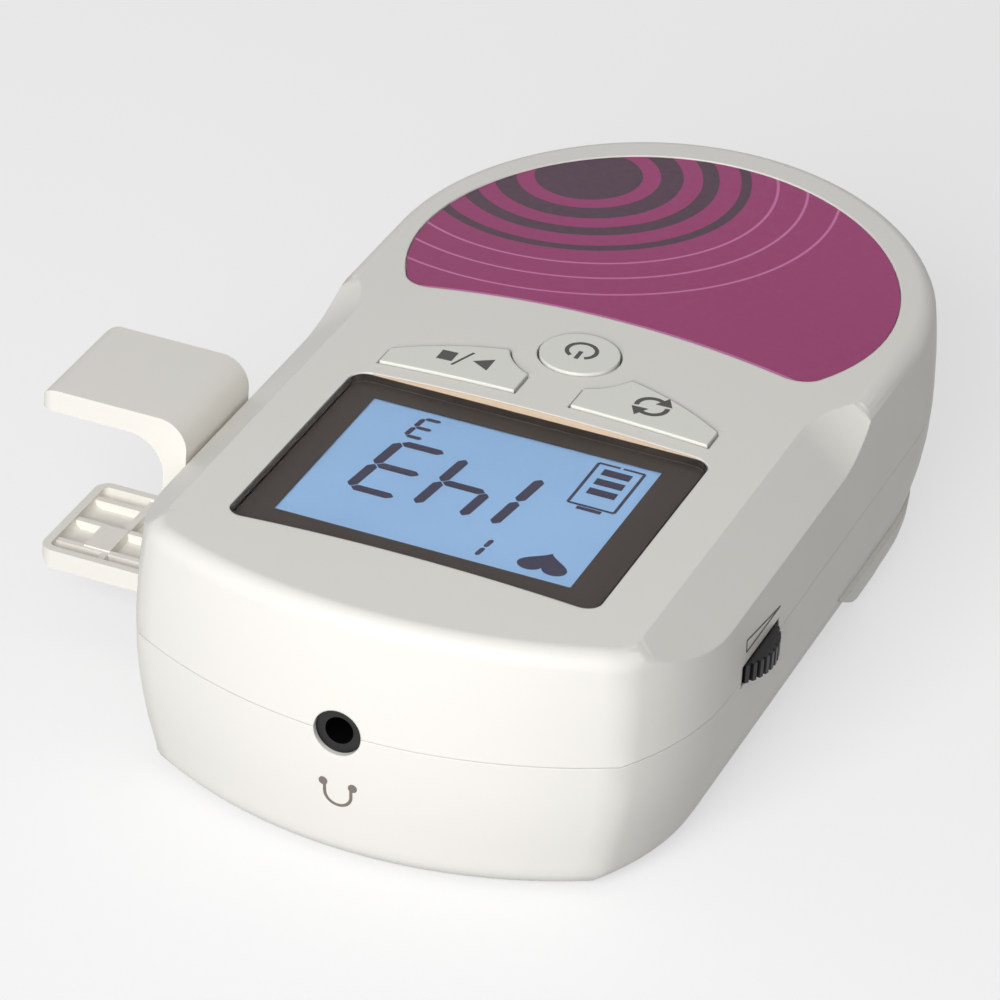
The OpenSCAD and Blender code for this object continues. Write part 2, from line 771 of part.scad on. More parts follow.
module tray_ribs() {
    rib_h = tray_h - tray_floor - rib_drop;
    rib_l = tray_reach - arm_t - tray_rim;
    translate([arm_t, 0, tray_low_z + tray_floor - eps]) {
        for (i = [-1, 0, 1])
            translate([-eps, i * rib_pitch - rib_t / 2, 0]) cube([rib_l, rib_t, rib_h + eps]);
    }
    translate([block_reach, 0, tray_low_z + tray_floor - eps]) {
        translate([-block_l / 2, -holder_w / 2 + tray_rim / 2, 0])
            cube([rib_t, holder_w - tray_rim, rib_h + eps]);
        translate([-block_l / 2, 0, 0]) cube([block_l, rib_pitch, rib_h + rib_drop / 2]);
    }
}

// The front of the case
module label() color("#99416f") {
    intersection() {
        linear_extrude(far) label_shape(0);
        under_top(label_sink + label_t, label_sink);
    }
}
module lens() color("#40362f", 0.6) {
    translate([0, lens_y, lens_z]) linear_extrude(lens_t) round_rect(lens_w, lens_l, lens_corner_r);
}
// The display glass and the pane on it that fills the window up to the lens
pane_fit = 0.4;
pane_gap = 0.1;
module lcd_glass() color("#8cafd7") {
    pane = [window_w - 2 * pane_fit, window_l - 2 * pane_fit, lens_z - pane_gap - glass_z];
    translate([0, lens_y, glass_z + glass_t / 2]) cube([glass_w, glass_l, glass_t], center = true);
    translate([0, lens_y, glass_z + pane.z / 2]) cube(pane, center = true);
}
module lcd_backlight() color("#e8eef4") {
    translate([0, lens_y, light_z + backlight_t / 2])
        cube([glass_w, glass_l, backlight_t], center = true);
}
module lcd_frame() color("#26262a") {
    floor_t = light_z - board_top_z;
    translate([0, lens_y, board_top_z])
        difference() {
            translate([-frame_w / 2, -frame_l / 2, 0]) cube([frame_w, frame_l, ledge_z - board_top_z]);
            translate([-glass_w / 2, -glass_l / 2, floor_t]) cube([glass_w, glass_l, far]);
        }
}

// Keys: a head that follows the crown, a lip under the shell and a stem over its switch
module key(spot) {
    intersection() {
        translate([0, 0, lip_z]) linear_extrude(far) children(0);
        below_top(-key_rise);
    }
    intersection() {
        translate([0, 0, lip_z]) linear_extrude(far) children(1);
        below_top(lip_top);
    }
    translate([spot.x, spot.y, stem_z]) cylinder(r = key_stem_r, h = lip_z - stem_z + eps);
}
module power_key() color("#e6e5dd") {
    key([0, power_y]) {
        power_shape(0);
        power_shape(key_lip);
    }
}
module mode_key() color("#e6e5dd") {
    key(wing_stem) {
        wing_shape(0);
        wing_shape(key_lip);
    }
}
module play_key() color("#e6e5dd") {
    mirror([1, 0, 0]) mode_key();
}

// The circuit board and what it carries
probe_sink = 0.1;
probe_base_t = 1.2;
board_clear = 0.5;
module main_board() color("#2f6b3f") {
    translate([0, 0, board_z])
        linear_extrude(board_t)
            difference() {
                polygon(full_outline(wall + board_edge_gap));
                for (p = screw_spots) translate(p) circle(r = screw_r + screw_fit);
                translate([-far, probe_y - probe_r - board_clear])
                    square([far - half_width + probe_sink + probe_depth + probe_base_t + board_clear,
                        2 * (probe_r + board_clear)]);
            }
}
module switch_at(spot) {
    translate([spot.x, spot.y, board_top_z]) {
        translate([-switch_w / 2, -switch_w / 2, 0]) cube([switch_w, switch_w, switch_h]);
        cylinder(r = plunger_r, h = plunger_top_z - board_top_z);
    }
}
module power_switch() color("#3a3a3c") { switch_at([0, power_y]); }
module mode_switch() color("#3a3a3c") { switch_at(wing_stem); }
module play_switch() color("#3a3a3c") { switch_at([-wing_stem.x, wing_stem.y]); }

can_size = [24, 18, 3.6];
can_spot = [-9, -6];
chip_size = [10, 10, 1.2];
chip_spot = [6, -34];
module shield_can() color("#b9bcc0") {
    translate([can_spot.x, can_spot.y, board_z - can_size.z / 2]) cube(can_size, center = true);
}
module main_chip() color("#1f2022") {
    translate([chip_spot.x, chip_spot.y, board_z - chip_size.z / 2]) cube(chip_size, center = true);
}

module volume_wheel() color("#1c1c1e") {
    tooth = 360 / groove_n;
    rim = [for (i = [0:groove_n - 1], c = [[0, 0], [0.5, 0], [0.62, 1], [0.88, 1]])
        let (t = (i + c[0]) * tooth, r = wheel_r - c[1] * groove_d) [r * cos(t), r * sin(t)]];
    translate([wheel_x, wheel_y, wheel_z - wheel_t / 2])
        difference() {
            linear_extrude(wheel_t) polygon(rim);
            translate([0, 0, -1]) cylinder(r = post_r + post_fit, h = wheel_t + 2);
        }
}
pot_size = [8.6, 11];
post_low_z = wheel_z - wheel_t / 2 - pot_gap;
module volume_pot() color("#8a6a3c") {
    body_z = wheel_z + wheel_t / 2 + pot_gap;
    translate([wheel_x, wheel_y, 0]) {
        translate([-pot_size.x / 2, -pot_size.y / 2, body_z])
            cube([pot_size.x, pot_size.y, board_z - body_z]);
        translate([0, 0, post_low_z]) cylinder(r = post_r, h = body_z - post_low_z + eps);
    }
}
// A cross recess cut down from z = 0
recess_w = 0.6;
module cross_recess(r, deep) {
    for (turn = [0, 90])
        rotate([0, 0, turn]) translate([-r, -recess_w / 2, -deep]) cube([2 * r, recess_w, deep + 1]);
}
wheel_screw_h = 1.3;
wheel_screw_lip = 1.4;
wheel_recess_d = 0.6;
module wheel_screw() color("#a9acb0") {
    translate([wheel_x, wheel_y, post_low_z])
        rotate([180, 0, 0])
            difference() {
                cylinder(r = post_r + wheel_screw_lip, h = wheel_screw_h);
                translate([0, 0, wheel_screw_h]) cross_recess(post_r, wheel_recess_d);
            }
}

jack_room = 0.4;
module headphone_jack() color("#151517") {
    tip_y = -front_reach + jack_sink;
    block_y = -front_reach + wall + jack_room;
    low_z = seam_z - jack_block / 2;
    difference() {
        union() {
            translate([jack_x, tip_y, seam_z])
                rotate([-90, 0, 0]) cylinder(r = jack_ring_r, h = block_y - tip_y + eps);
            translate([jack_x - jack_block / 2, block_y, low_z])
                cube([jack_block, jack_depth, board_z - low_z]);
        }
        translate([jack_x, tip_y - 1, seam_z])
            rotate([-90, 0, 0]) cylinder(r = jack_hole_r, h = jack_depth + 1);
    }
}
module probe_socket() color("#2a2a2d") {
    translate([-half_width + probe_sink, probe_y, seam_z])
        rotate([0, 90, 0])
            difference() {
                cylinder(r = probe_r, h = probe_depth + probe_base_t);
                translate([0, 0, -1]) cylinder(r = probe_hole_r, h = probe_depth + 1);
            }
}

mesh_t = 0.3;
rim_share = 0.5;
magnet_share = 0.55;
module speaker() color("#3b3c40") {
    translate([speaker_x, speaker_y, wall + mesh_t]) {
        cylinder(r = speaker_r, h = rim_share * speaker_h);
        cylinder(r = magnet_share * speaker_r, h = speaker_h);
    }
}
module speaker_mesh() color("#1b1b1c") {
    translate([speaker_x, speaker_y, wall]) cylinder(r = speaker_r, h = mesh_t);
}

// Two cells across the body, laid head to tail, with a spring at each flat end
module cell(y, head) {
    translate([0, y, cell_z])
        rotate([0, head * 90, 0]) {
            translate([0, 0, -cell_l / 2]) cylinder(r = cell_r, h = cell_l);
            translate([0, 0, cell_l / 2 - eps]) cylinder(r = button_r, h = button_h + eps);
        }
}
module cell_front() color("#3f7fb5") { cell(cell_ys[0], 1); }
module cell_rear() color("#3f7fb5") { cell(cell_ys[1], -1); }
module contact_plate(y, side) {
    translate([side * (contact_x + contact_t / 2), y, cell_z])
        cube([contact_t, 2 * contact_half, 2 * contact_half], center = true);
}
module contact_plus(y, side) {
    tip_x = cell_l / 2 + button_h;
    contact_plate(y, side);
    translate([side * tip_x, y, cell_z])
        rotate([0, side * 90, 0]) cylinder(r = nub_r, h = contact_x - tip_x + eps);
}
module contact_minus(y, side) {
    free = contact_x - cell_l / 2;
    contact_plate(y, side);
    translate([side * cell_l / 2, y, cell_z])
        rotate([0, side * 90, 0])
            difference() {
                cylinder(r = spring_r, h = free + eps);
                translate([0, 0, -1]) cylinder(r = spring_r - spring_wire, h = free + 1);
            }
}
module contact_front_plus() color("#b7babd") { contact_plus(cell_ys[0], 1); }
module contact_front_minus() color("#b7babd") { contact_minus(cell_ys[0], -1); }
module contact_rear_plus() color("#b7babd") { contact_plus(cell_ys[1], -1); }
module contact_rear_minus() color("#b7babd") { contact_minus(cell_ys[1], 1); }

screw_recess_r = 0.7 * screw_head_r;
screw_recess_d = 0.9;
module case_screw(p) {
    translate([p.x, p.y, screw_seat_z]) {
        difference() {
            translate([0, 0, -screw_head_h]) cylinder(r = screw_head_r, h = screw_head_h);
            translate([0, 0, -screw_head_h])
                rotate([180, 0, 0]) cross_recess(screw_recess_r, screw_recess_d);
        }
        translate([0, 0, -eps]) cylinder(r = screw_r, h = screw_l + eps);
    }
}
module screw_front_right() color("#9a9da1") { case_screw(screw_spots[0]); }
module screw_front_left() color("#9a9da1") { case_screw(screw_spots[1]); }
module screw_rear_right() color("#9a9da1") { case_screw(screw_spots[2]); }
module screw_rear_left() color("#9a9da1") { case_screw(screw_spots[3]); }

upper_shell();
lower_shell();
battery_cover();
battery_tray();
probe_holder();
label();
lens();
lcd_glass();
lcd_backlight();
lcd_frame();
main_board();
power_key();
play_key();
mode_key();
power_switch();
play_switch();
mode_switch();
volume_wheel();
volume_pot();
wheel_screw();
headphone_jack();
probe_socket();
speaker();
speaker_mesh();
cell_front();
cell_rear();
contact_front_plus();
contact_front_minus();
contact_rear_plus();
contact_rear_minus();
screw_front_right();
screw_front_left();
screw_rear_right();
screw_rear_left();
shield_can();
main_chip();
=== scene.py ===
"""Hand-held fetal doppler monitor: its pieces, finishes, light and camera, round its frame."""

import logging
import math
from dataclasses import dataclass, field
from enum import Enum
from typing import Iterable

import bmesh
import bpy
from mathutils import Matrix, Vector
from mathutils.bvhtree import BVHTree


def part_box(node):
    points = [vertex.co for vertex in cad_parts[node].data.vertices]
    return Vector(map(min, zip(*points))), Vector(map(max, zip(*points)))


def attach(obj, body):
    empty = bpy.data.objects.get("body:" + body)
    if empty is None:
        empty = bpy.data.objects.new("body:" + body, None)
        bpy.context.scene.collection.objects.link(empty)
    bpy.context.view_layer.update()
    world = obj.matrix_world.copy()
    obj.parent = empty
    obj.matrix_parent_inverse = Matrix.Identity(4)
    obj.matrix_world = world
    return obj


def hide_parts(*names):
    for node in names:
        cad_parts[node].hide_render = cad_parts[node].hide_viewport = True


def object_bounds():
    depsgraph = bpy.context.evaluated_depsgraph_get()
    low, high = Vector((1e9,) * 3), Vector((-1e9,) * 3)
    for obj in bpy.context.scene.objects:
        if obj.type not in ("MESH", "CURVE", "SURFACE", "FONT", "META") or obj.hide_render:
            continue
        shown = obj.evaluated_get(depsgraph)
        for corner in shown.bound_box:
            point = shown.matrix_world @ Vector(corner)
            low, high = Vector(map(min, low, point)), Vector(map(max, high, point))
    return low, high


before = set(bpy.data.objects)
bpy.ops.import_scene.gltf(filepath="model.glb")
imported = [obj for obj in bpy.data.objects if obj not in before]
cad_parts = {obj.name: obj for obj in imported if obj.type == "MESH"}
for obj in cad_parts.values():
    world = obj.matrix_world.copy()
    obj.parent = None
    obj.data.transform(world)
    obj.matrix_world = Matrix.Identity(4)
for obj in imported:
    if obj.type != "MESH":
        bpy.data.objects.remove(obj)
CAD_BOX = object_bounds()
MM = 0.001
# Height of the deck's middle line, and radius of its crown
TOP_Z = 35 * MM
CROWN_R = 333 * MM
# Middle of the label's hollow lower edge along the body, and radius of that edge
LABEL_EDGE_Y = 13.4 * MM
LABEL_EDGE_R = 150 * MM
# The ways in which prints drop onto the case
DOWN = Vector((0, 0, -1))
BACK = Vector((0, 1, 0))
LEFT = Vector((-1, 0, 0))

Colour = tuple[float, float, float]
Spot = tuple[float, float]

logging.basicConfig(level=logging.INFO, format="%(message)s")
log = logging.getLogger("monitor")


class Body(Enum):
    """The bodies that pieces ride on."""

    CASE = "case"
    POWER_KEY = "power_key"
    PLAY_KEY = "play_key"
    MODE_KEY = "mode_key"
    COVER = "battery_cover"


class Slot(Enum):
    """The record's material slots that new pieces take their finish from."""

    CASE = "case_white"
    KEY = "key_white"
    LENS = "lens_brown"
    BLACK = "black_plastic"


def linear(red: int, green: int, blue: int) -> Colour:
    """Turn a colour as seen on a screen, in steps of 0 to 255, into a linear one.

    Args:
        red: The red step.
        green: The green step.
        blue: The blue step.

    Returns:
        The linear red, green and blue shares.
    """

    def one(step: int) -> float:
        share = step / 255
        return share / 12.92 if share <= 0.04045 else ((share + 0.055) / 1.055) ** 2.4

    return one(red), one(green), one(blue)


# --- Shader helpers -------------------------------------------------------------------------------


@dataclass
class Sketch:
    """Adds and joins the nodes of one tree."""

    tree: bpy.types.NodeTree

    def node(self, kind: str, **settings: object) -> bpy.types.Node:
        """Add a node and set its properties.

        Args:
            kind: The node's type name.
            settings: Property names and values.

        Returns:
            The new node.
        """
        made = self.tree.nodes.new(kind)
        for name, value in settings.items():
            setattr(made, name, value)
        return made

    def join(self, value: object, socket: bpy.types.NodeSocket) -> None:
        """Link an output to an input, or write a plain value into it.

        Args:
            value: The output or the value, or None to leave the input as it is.
            socket: The input.
        """
        if isinstance(value, bpy.types.NodeSocket):
            self.tree.links.new(value, socket)
        elif value is not None:
            socket.default_value = value

    def fill(self, node: bpy.types.Node, values: dict[str, object]) -> None:
        """Join or write several inputs of a node.

        Args:
            node: The node.
            values: Outputs or plain values, by the name of the input.
        """
        for name, value in values.items():
            self.join(value, node.inputs[name])

    def math(self, kind: str, *values: object, clamp: bool = False) -> bpy.types.NodeSocket:
        """Add a Math node.

        Args:
            kind: The operation.
            values: Its inputs, as outputs or numbers.
            clamp: Whether the result is kept between 0 and 1.

        Returns:
            The node's output.
        """
        made = self.node("ShaderNodeMath", operation=kind, use_clamp=clamp)
        for value, socket in zip(values, made.inputs):
            self.join(value, socket)
        return made.outputs[0]

    def mix(self, share: object, first: object, second: object) -> bpy.types.NodeSocket:
        """Mix two colours.

        Args:
            share: How much of the second colour there is, from 0 to 1.
            first: The first colour.
            second: The second colour.

        Returns:
            The mixed colour.
        """
        made = self.node("ShaderNodeMix", data_type="RGBA")
        self.fill(made, {"Factor": share, "A": opaque(first), "B": opaque(second)})
        return made.outputs["Result"]

    def noise(
        self, scale: float, detail: float, where: bpy.types.NodeSocket
    ) -> bpy.types.NodeSocket:
        """Add a noise pattern.

        Args:
            scale: Waves per metre of the object.
            detail: Number of finer layers.
            where: The coordinates to read.

        Returns:
            The pattern's height, from 0 to 1.
        """
        made = self.node("ShaderNodeTexNoise")
        self.fill(made, {"Scale": scale, "Detail": detail, "Vector": where})
        return made.outputs["Fac"]

    def object_place(self) -> bpy.types.NodeSocket:
        """Return the object coordinates, in metres."""
        return self.node("ShaderNodeTexCoord").outputs["Object"]

    def bump(
        self, height: object, strength: float, distance: float, under: object = None
    ) -> bpy.types.NodeSocket:
        """Add a bump.

        Args:
            height: The pattern's height.
            strength: How much of the bump shows, from 0 to 1.
            distance: Height of the bump where the pattern is 1, in metres.
            under: The normal that the bump lies on, or None for the surface's own.

        Returns:
            The bumped normal.
        """
        made = self.node("ShaderNodeBump")
        self.fill(
            made, {"Height": height, "Strength": strength, "Distance": distance, "Normal": under}
        )
        return made.outputs["Normal"]

    def seen_rays(self) -> bpy.types.NodeSocket:
        """Return 1 for the rays of the camera, of reflections and through glass, or else 0."""
        path = self.node("ShaderNodeLightPath").outputs
        seen = self.math("MAXIMUM", path["Is Camera Ray"], path["Is Glossy Ray"])
        return self.math("MAXIMUM", seen, path["Is Transmission Ray"])


def opaque(value: object) -> object:
    """Give a plain colour its fourth number."""
    return (*value, 1.0) if isinstance(value, tuple) and len(value) == 3 else value


def moulded_surface() -> bpy.types.ShaderNodeTree:
    """Build the group for moulded plastic once: a fine grain, a faint mottle and uneven gloss.

    Returns:
        The group, with Color, Roughness and Height outputs.
    """
    name = "moulded_surface"
    if name in bpy.data.node_groups:
        return bpy.data.node_groups[name]
    tree = bpy.data.node_groups.new(name, "ShaderNodeTree")
    add = tree.interface.new_socket
    add("Color", in_out="INPUT", socket_type="NodeSocketColor")
    for title in ("Mottle", "Roughness", "Unevenness", "Grain"):
        add(title, in_out="INPUT", socket_type="NodeSocketFloat")
    add("Color", in_out="OUTPUT", socket_type="NodeSocketColor")
    add("Roughness", in_out="OUTPUT", socket_type="NodeSocketFloat")
    add("Height", in_out="OUTPUT", socket_type="NodeSocketFloat")
    sketch = Sketch(tree)
    source = sketch.node("NodeGroupInput").outputs
    target = sketch.node("NodeGroupOutput").inputs
    place = sketch.object_place()
    cloud = sketch.math("SUBTRACT", sketch.noise(45, 3, place), 0.5)
    smear = sketch.math("SUBTRACT", sketch.noise(160, 2, place), 0.5)
    grain = sketch.noise(2600, 2, place)
    shift = sketch.math("MULTIPLY_ADD", cloud, source["Mottle"], 1.0)
    tint = sketch.node("ShaderNodeVectorMath", operation="SCALE")
    sketch.join(source["Color"], tint.inputs[0])
    sketch.join(shift, tint.inputs["Scale"])
    sketch.join(tint.outputs[0], target["Color"])
    uneven = sketch.math("MULTIPLY_ADD", smear, source["Unevenness"], source["Roughness"])
    grain_gloss = 0.04
    rough = sketch.math("MULTIPLY_ADD", grain, grain_gloss, uneven, clamp=True)
    sketch.join(rough, target["Roughness"])
    sketch.join(sketch.math("MULTIPLY", grain, source["Grain"]), target["Height"])
    return tree


def blank_material(name: str) -> tuple[bpy.types.Material, Sketch, bpy.types.Node]:
    """Make a material that holds only a Principled shader.

    Args:
        name: The material's name.

    Returns:
        The material, a sketch of its tree and the shader node.
    """
    material = bpy.data.materials.new(name)
    material.use_nodes = True
    return material, Sketch(material.node_tree), material.node_tree.nodes["Principled BSDF"]


class Finish:
    """What all finishes share: a name, and a material that is made on first use."""

    name: str

    def build(self) -> bpy.types.Material:
        """Return the material, made on first use."""
        if self.name in bpy.data.materials:
            return bpy.data.materials[self.name]
        material, sketch, shader = blank_material(self.name)
        self.paint(sketch, shader)
        return material

    def paint(self, sketch: Sketch, shader: bpy.types.Node) -> None:
        """Set the inputs of the Principled shader.

        Args:
            sketch: The sketch of the material's tree.
            shader: The shader.
        """
        raise NotImplementedError


@dataclass(frozen=True)
class Plastic(Finish):
    """A moulded plastic finish.

    Attributes:
        name: The material's name.
        colour: Its linear colour.
        roughness: Its mean roughness.
        unevenness: How far the roughness drifts over the surface.
        mottle: How far the colour drifts over the surface.
        grain: Height of the fine grain, in metres.
        coat: Weight of a clear coat.
        metallic: 1 for bare metal, or 0.
        edge_r: Radius of the softened edges, in metres, or 0.
    """

    name: str
    colour: Colour
    roughness: float = 0.42
    unevenness: float = 0.12
    mottle: float = 0.05
    grain: float = 0.00001
    coat: float = 0.0
    metallic: float = 0.0
    edge_r: float = 0.0

    def paint(self, sketch: Sketch, shader: bpy.types.Node) -> None:
        """Set the shader's inputs from the moulded surface.

        Args:
            sketch: The sketch of the material's tree.
            shader: The shader.
        """
        group = sketch.node("ShaderNodeGroup", node_tree=moulded_surface())
        sketch.fill(
            group,
            {
                "Color": opaque(self.colour),
                "Mottle": self.mottle,
                "Roughness": self.roughness,
                "Unevenness": self.unevenness,
                "Grain": self.grain,
            },
        )
        normal = None
        if self.edge_r:
            soft = sketch.node("ShaderNodeBevel", samples=6)
            soft.inputs["Radius"].default_value = self.edge_r
            normal = soft.outputs["Normal"]
        made = group.outputs
        sketch.fill(
            shader,
            {
                "Base Color": made["Color"],
                "Roughness": made["Roughness"],
                "Normal": sketch.bump(made["Height"], 0.6, 1.0, normal),
                "Metallic": self.metallic,
                "Coat Weight": self.coat,
            },
        )


@dataclass(frozen=True)
class ClearLens(Finish):
    """The clear acrylic of the display lens.

    Attributes:
        name: The material's name.
        tint: Its linear colour.
        ior: How strongly it bends light, kept low so that the display stays clear.
        smear: Its greatest roughness.
    """

    name: str = "clear_acrylic"
    tint: Colour = (0.95, 0.95, 0.95)
    ior: float = 1.1
    smear: float = 0.05

    def paint(self, sketch: Sketch, shader: bpy.types.Node) -> None:
        """Set the shader's inputs to clear acrylic with faint smears.

        Args:
            sketch: The sketch of the material's tree.
            shader: The shader.
        """
        cloud = sketch.noise(90, 2, sketch.object_place())
        sketch.fill(
            shader,
            {
                "Base Color": opaque(self.tint),
                "Roughness": sketch.math("MULTIPLY", cloud, self.smear),
                "Transmission Weight": 1.0,
                "IOR": self.ior,
            },
        )


@dataclass(frozen=True)
class LitDisplay(Finish):
    """The backlit ground of the display, in soft clouds of two blues with the grain of its cells;
    its glow is partly the backlight and partly painted light.

    Attributes:
        name: The material's name.
        pale: The paler linear colour.
        deep: The deeper linear colour.
        cell_share: How much the grain of the cells shows.
        backlight_and_painted_glow: Strength of the glow, partly the backlight and partly painted
            light in place of lamp light that does not reach it through the lens.
        gloss: Its specular level.
        roughness: Its roughness.
    """

    name: str = "display_ground"
    pale: Colour = linear(138, 172, 209)
    deep: Colour = linear(119, 156, 196)
    cell_share: float = 0.16
    backlight_and_painted_glow: float = 0.15
    gloss: float = 0.2
    roughness: float = 0.5

    def paint(self, sketch: Sketch, shader: bpy.types.Node) -> None:
        """Set the shader's inputs to the lit ground.

        Args:
            sketch: The sketch of the material's tree.
            shader: The shader.
        """
        place = sketch.object_place()
        cloud = sketch.noise(38, 2, place)
        cells = sketch.noise(3200, 0, place)
        share = sketch.math("MULTIPLY_ADD", cells, self.cell_share, cloud, clamp=True)
        ground = sketch.mix(share, self.deep, self.pale)
        sketch.fill(
            shader,
            {
                "Base Color": ground,
                # Emission: partly the backlight, partly painted light in place of lamp light that
                # does not reach the ground through the lens.
                "Emission Color": ground,
                "Emission Strength": self.backlight_and_painted_glow,
                "Specular IOR Level": self.gloss,
                "Roughness": self.roughness,
            },
        )


@dataclass(frozen=True)
class PrintedLabel(Finish):
    """The satin printed foil on the round end: plain magenta with rings that spread from one side,
    and a painted highlight along its hollow lower edge.

    Attributes:
        centre: Middle of the rings, in metres.
        discs: Inner and outer radius of each dark ring, in metres.
        lines: Radius of each thin pale line, in metres.
        edge_centre_y: Centre of the hollow lower edge, in metres.
        edge_r: Radius of the hollow lower edge, in metres.
        name: The material's name.
        ground: The linear colour of the foil.
        shade: The linear colour of its darker clouds.
        dark: The linear colour of the dark rings.
        line: The linear colour of the thin printed lines, and of the painted highlight along the
            lower edge.
        line_half: Half the width of a thin line, in metres.
        highlight_half: Half the width of the painted highlight along the lower edge, in metres.
        blur: Half the width over which a ring's edge fades, in metres.
    """

    centre: Spot
    discs: tuple[Spot, ...]
    lines: tuple[float, ...]
    edge_centre_y: float
    edge_r: float
    name: str = "printed_label"
    ground: Colour = linear(160, 46, 112)
    shade: Colour = linear(140, 34, 95)
    dark: Colour = linear(58, 18, 48)
    line: Colour = linear(206, 116, 172)
    line_half: float = 0.00018
    highlight_half: float = 0.0005
    blur: float = 0.00008

    def radius(self, sketch: Sketch, x: float, y: float) -> bpy.types.NodeSocket:
        """Measure how far a point of the surface lies from a centre, seen from above.

        Args:
            sketch: The sketch of the material's tree.
            x: The centre's place sideways, in metres.
            y: The centre's place along the body, in metres.

        Returns:
            The distance, in metres.
        """
        flat = sketch.node("ShaderNodeVectorMath", operation="MULTIPLY_ADD")
        sketch.join(sketch.object_place(), flat.inputs[0])
        flat.inputs[1].default_value = (1, 1, 0)
        flat.inputs[2].default_value = (-x, -y, 0)
        length = sketch.node("ShaderNodeVectorMath", operation="LENGTH")
        sketch.join(flat.outputs[0], length.inputs[0])
        return length.outputs["Value"]

    def band(
        self, sketch: Sketch, radius: bpy.types.NodeSocket, middle: float, half: float
    ) -> bpy.types.NodeSocket:
        """Make the mask of a ring with soft edges.

        Args:
            sketch: The sketch of the material's tree.
            radius: The distance from the ring's centre.
            middle: The ring's middle radius, in metres.
            half: Half the ring's width, in metres.

        Returns:
            The mask, 1 on the ring.
        """
        off = sketch.math("ABSOLUTE", sketch.math("SUBTRACT", radius, middle))
        ramp = sketch.node("ShaderNodeMapRange", interpolation_type="SMOOTHSTEP")
        sketch.fill(
            ramp,
            {
                "Value": off,
                "From Min": half - self.blur,
                "From Max": half + self.blur,
                "To Min": 1.0,
                "To Max": 0.0,
            },
        )
        return ramp.outputs["Result"]

    def paint(self, sketch: Sketch, shader: bpy.types.Node) -> None:
        """Set the shader's inputs to the printed foil.

        Args:
            sketch: The sketch of the material's tree.
            shader: The shader.
        """
        place = sketch.object_place()
        colour = sketch.mix(sketch.noise(14, 1, place), self.shade, self.ground)
        radius = self.radius(sketch, *self.centre)
        for inner, outer in self.discs:
            mask = self.band(sketch, radius, (inner + outer) / 2, (outer - inner) / 2)
            colour = sketch.mix(mask, colour, self.dark)
        for ring in self.lines:
            mask = self.band(sketch, radius, ring, self.line_half)
            colour = sketch.mix(mask, colour, self.line)
        # A painted highlight: a pale band along the hollow lower edge, in the colour of the thin
        # lines.
        edge = self.radius(sketch, 0, self.edge_centre_y)
        edge_highlight = self.band(sketch, edge, self.edge_r, self.highlight_half)
        uneven, even = 0.12, 0.46
        sketch.fill(
            shader,
            {
                "Base Color": sketch.mix(edge_highlight, colour, self.line),
                "Roughness": sketch.math(
                    "MULTIPLY_ADD", sketch.noise(900, 2, place), uneven, even
                ),
                "Normal": sketch.bump(sketch.noise(3000, 1, place), 0.3, 0.00001),
            },
        )


@dataclass(frozen=True)
class WovenMesh(Finish):
    """The woven black cloth behind the sound grille.

    Attributes:
        name: The material's name.
        pitch: Distance over which the weave repeats, in metres.
        hollow: The linear colour between the threads.
        thread: The linear colour of the threads.
    """

    name: str = "woven_mesh"
    pitch: float = 0.0006
    hollow: Colour = linear(12, 12, 13)
    thread: Colour = linear(52, 52, 54)

    def paint(self, sketch: Sketch, shader: bpy.types.Node) -> None:
        """Set the shader's inputs to the weave.

        Args:
            sketch: The sketch of the material's tree.
            shader: The shader.
        """
        place = sketch.object_place()
        turns = math.tau / self.pitch
        axes = sketch.node("ShaderNodeSeparateXYZ")
        sketch.join(place, axes.inputs[0])
        across, along = (
            sketch.math("SINE", sketch.math("MULTIPLY", axes.outputs[name], turns))
            for name in "XY"
        )
        weave = sketch.math("MULTIPLY", across, along)
        raised = sketch.math("MULTIPLY_ADD", weave, 0.5, 0.5, clamp=True)
        sketch.fill(
            shader,
            {
                "Base Color": sketch.mix(raised, self.hollow, self.thread),
                "Roughness": 0.8,
                "Normal": sketch.bump(raised, 1.0, 0.0001),
            },
        )


CASE_WHITE = Plastic("case_plastic", linear(231, 229, 223), 0.4, 0.1, 0.03, 0.000012, edge_r=0.0003)
HOLDER_WHITE = Plastic("holder_plastic", linear(233, 230, 223), 0.38, 0.1, 0.03, 0.000012)
KEY_WHITE = Plastic("key_plastic", linear(229, 230, 222), 0.36, 0.1, 0.03, 0.000008, edge_r=0.0003)
ICON_GREY = Plastic("icon_ink", linear(62, 60, 58), 0.5, 0.1, 0.06, 0.000004)
# A painted reflection: the beige of the strip on the rear wall of the lens's recess.
REFLECTION_BEIGE = Plastic("painted_reflection_beige", linear(218, 194, 168), 0.45, 0.1, 0.06, 0.000004)
MARK_BROWN = Plastic("mark_ink", linear(118, 108, 103), 0.5, 0.1, 0.1, 0.000004)
LINE_BLACK = Plastic("line_ink", linear(52, 48, 46), 0.5, 0.1, 0.06, 0.000004)
BORDER_BROWN = Plastic("border_ink", linear(50, 40, 34), 0.6, 0.06, 0.03, 0.0)
SEGMENT_NAVY = Plastic("segment_navy", linear(34, 28, 62), 0.6, 0.05, 0.05, 0.0)
DULL_BLACK = Plastic("dull_black", linear(30, 30, 32), 0.55, 0.15, 0.1, 0.00001)
WHEEL_BLACK = Plastic("wheel_black", linear(13, 13, 14), 0.42, 0.15, 0.1, 0.000006)
GLOSS_BLACK = Plastic("gloss_black", linear(7, 7, 8), 0.3, 0.05, 0.05, 0.0)
BOARD_GREEN = Plastic("solder_mask", linear(34, 92, 55), 0.32, 0.1, 0.2, 0.00001, coat=0.4)
STEEL = Plastic(
    "plated_steel", linear(196, 197, 200), 0.28, 0.12, 0.05, 0.000003, metallic=1.0
)
POT_BROWN = Plastic("phenolic_brown", linear(140, 98, 52), 0.5, 0.1, 0.2, 0.00001)
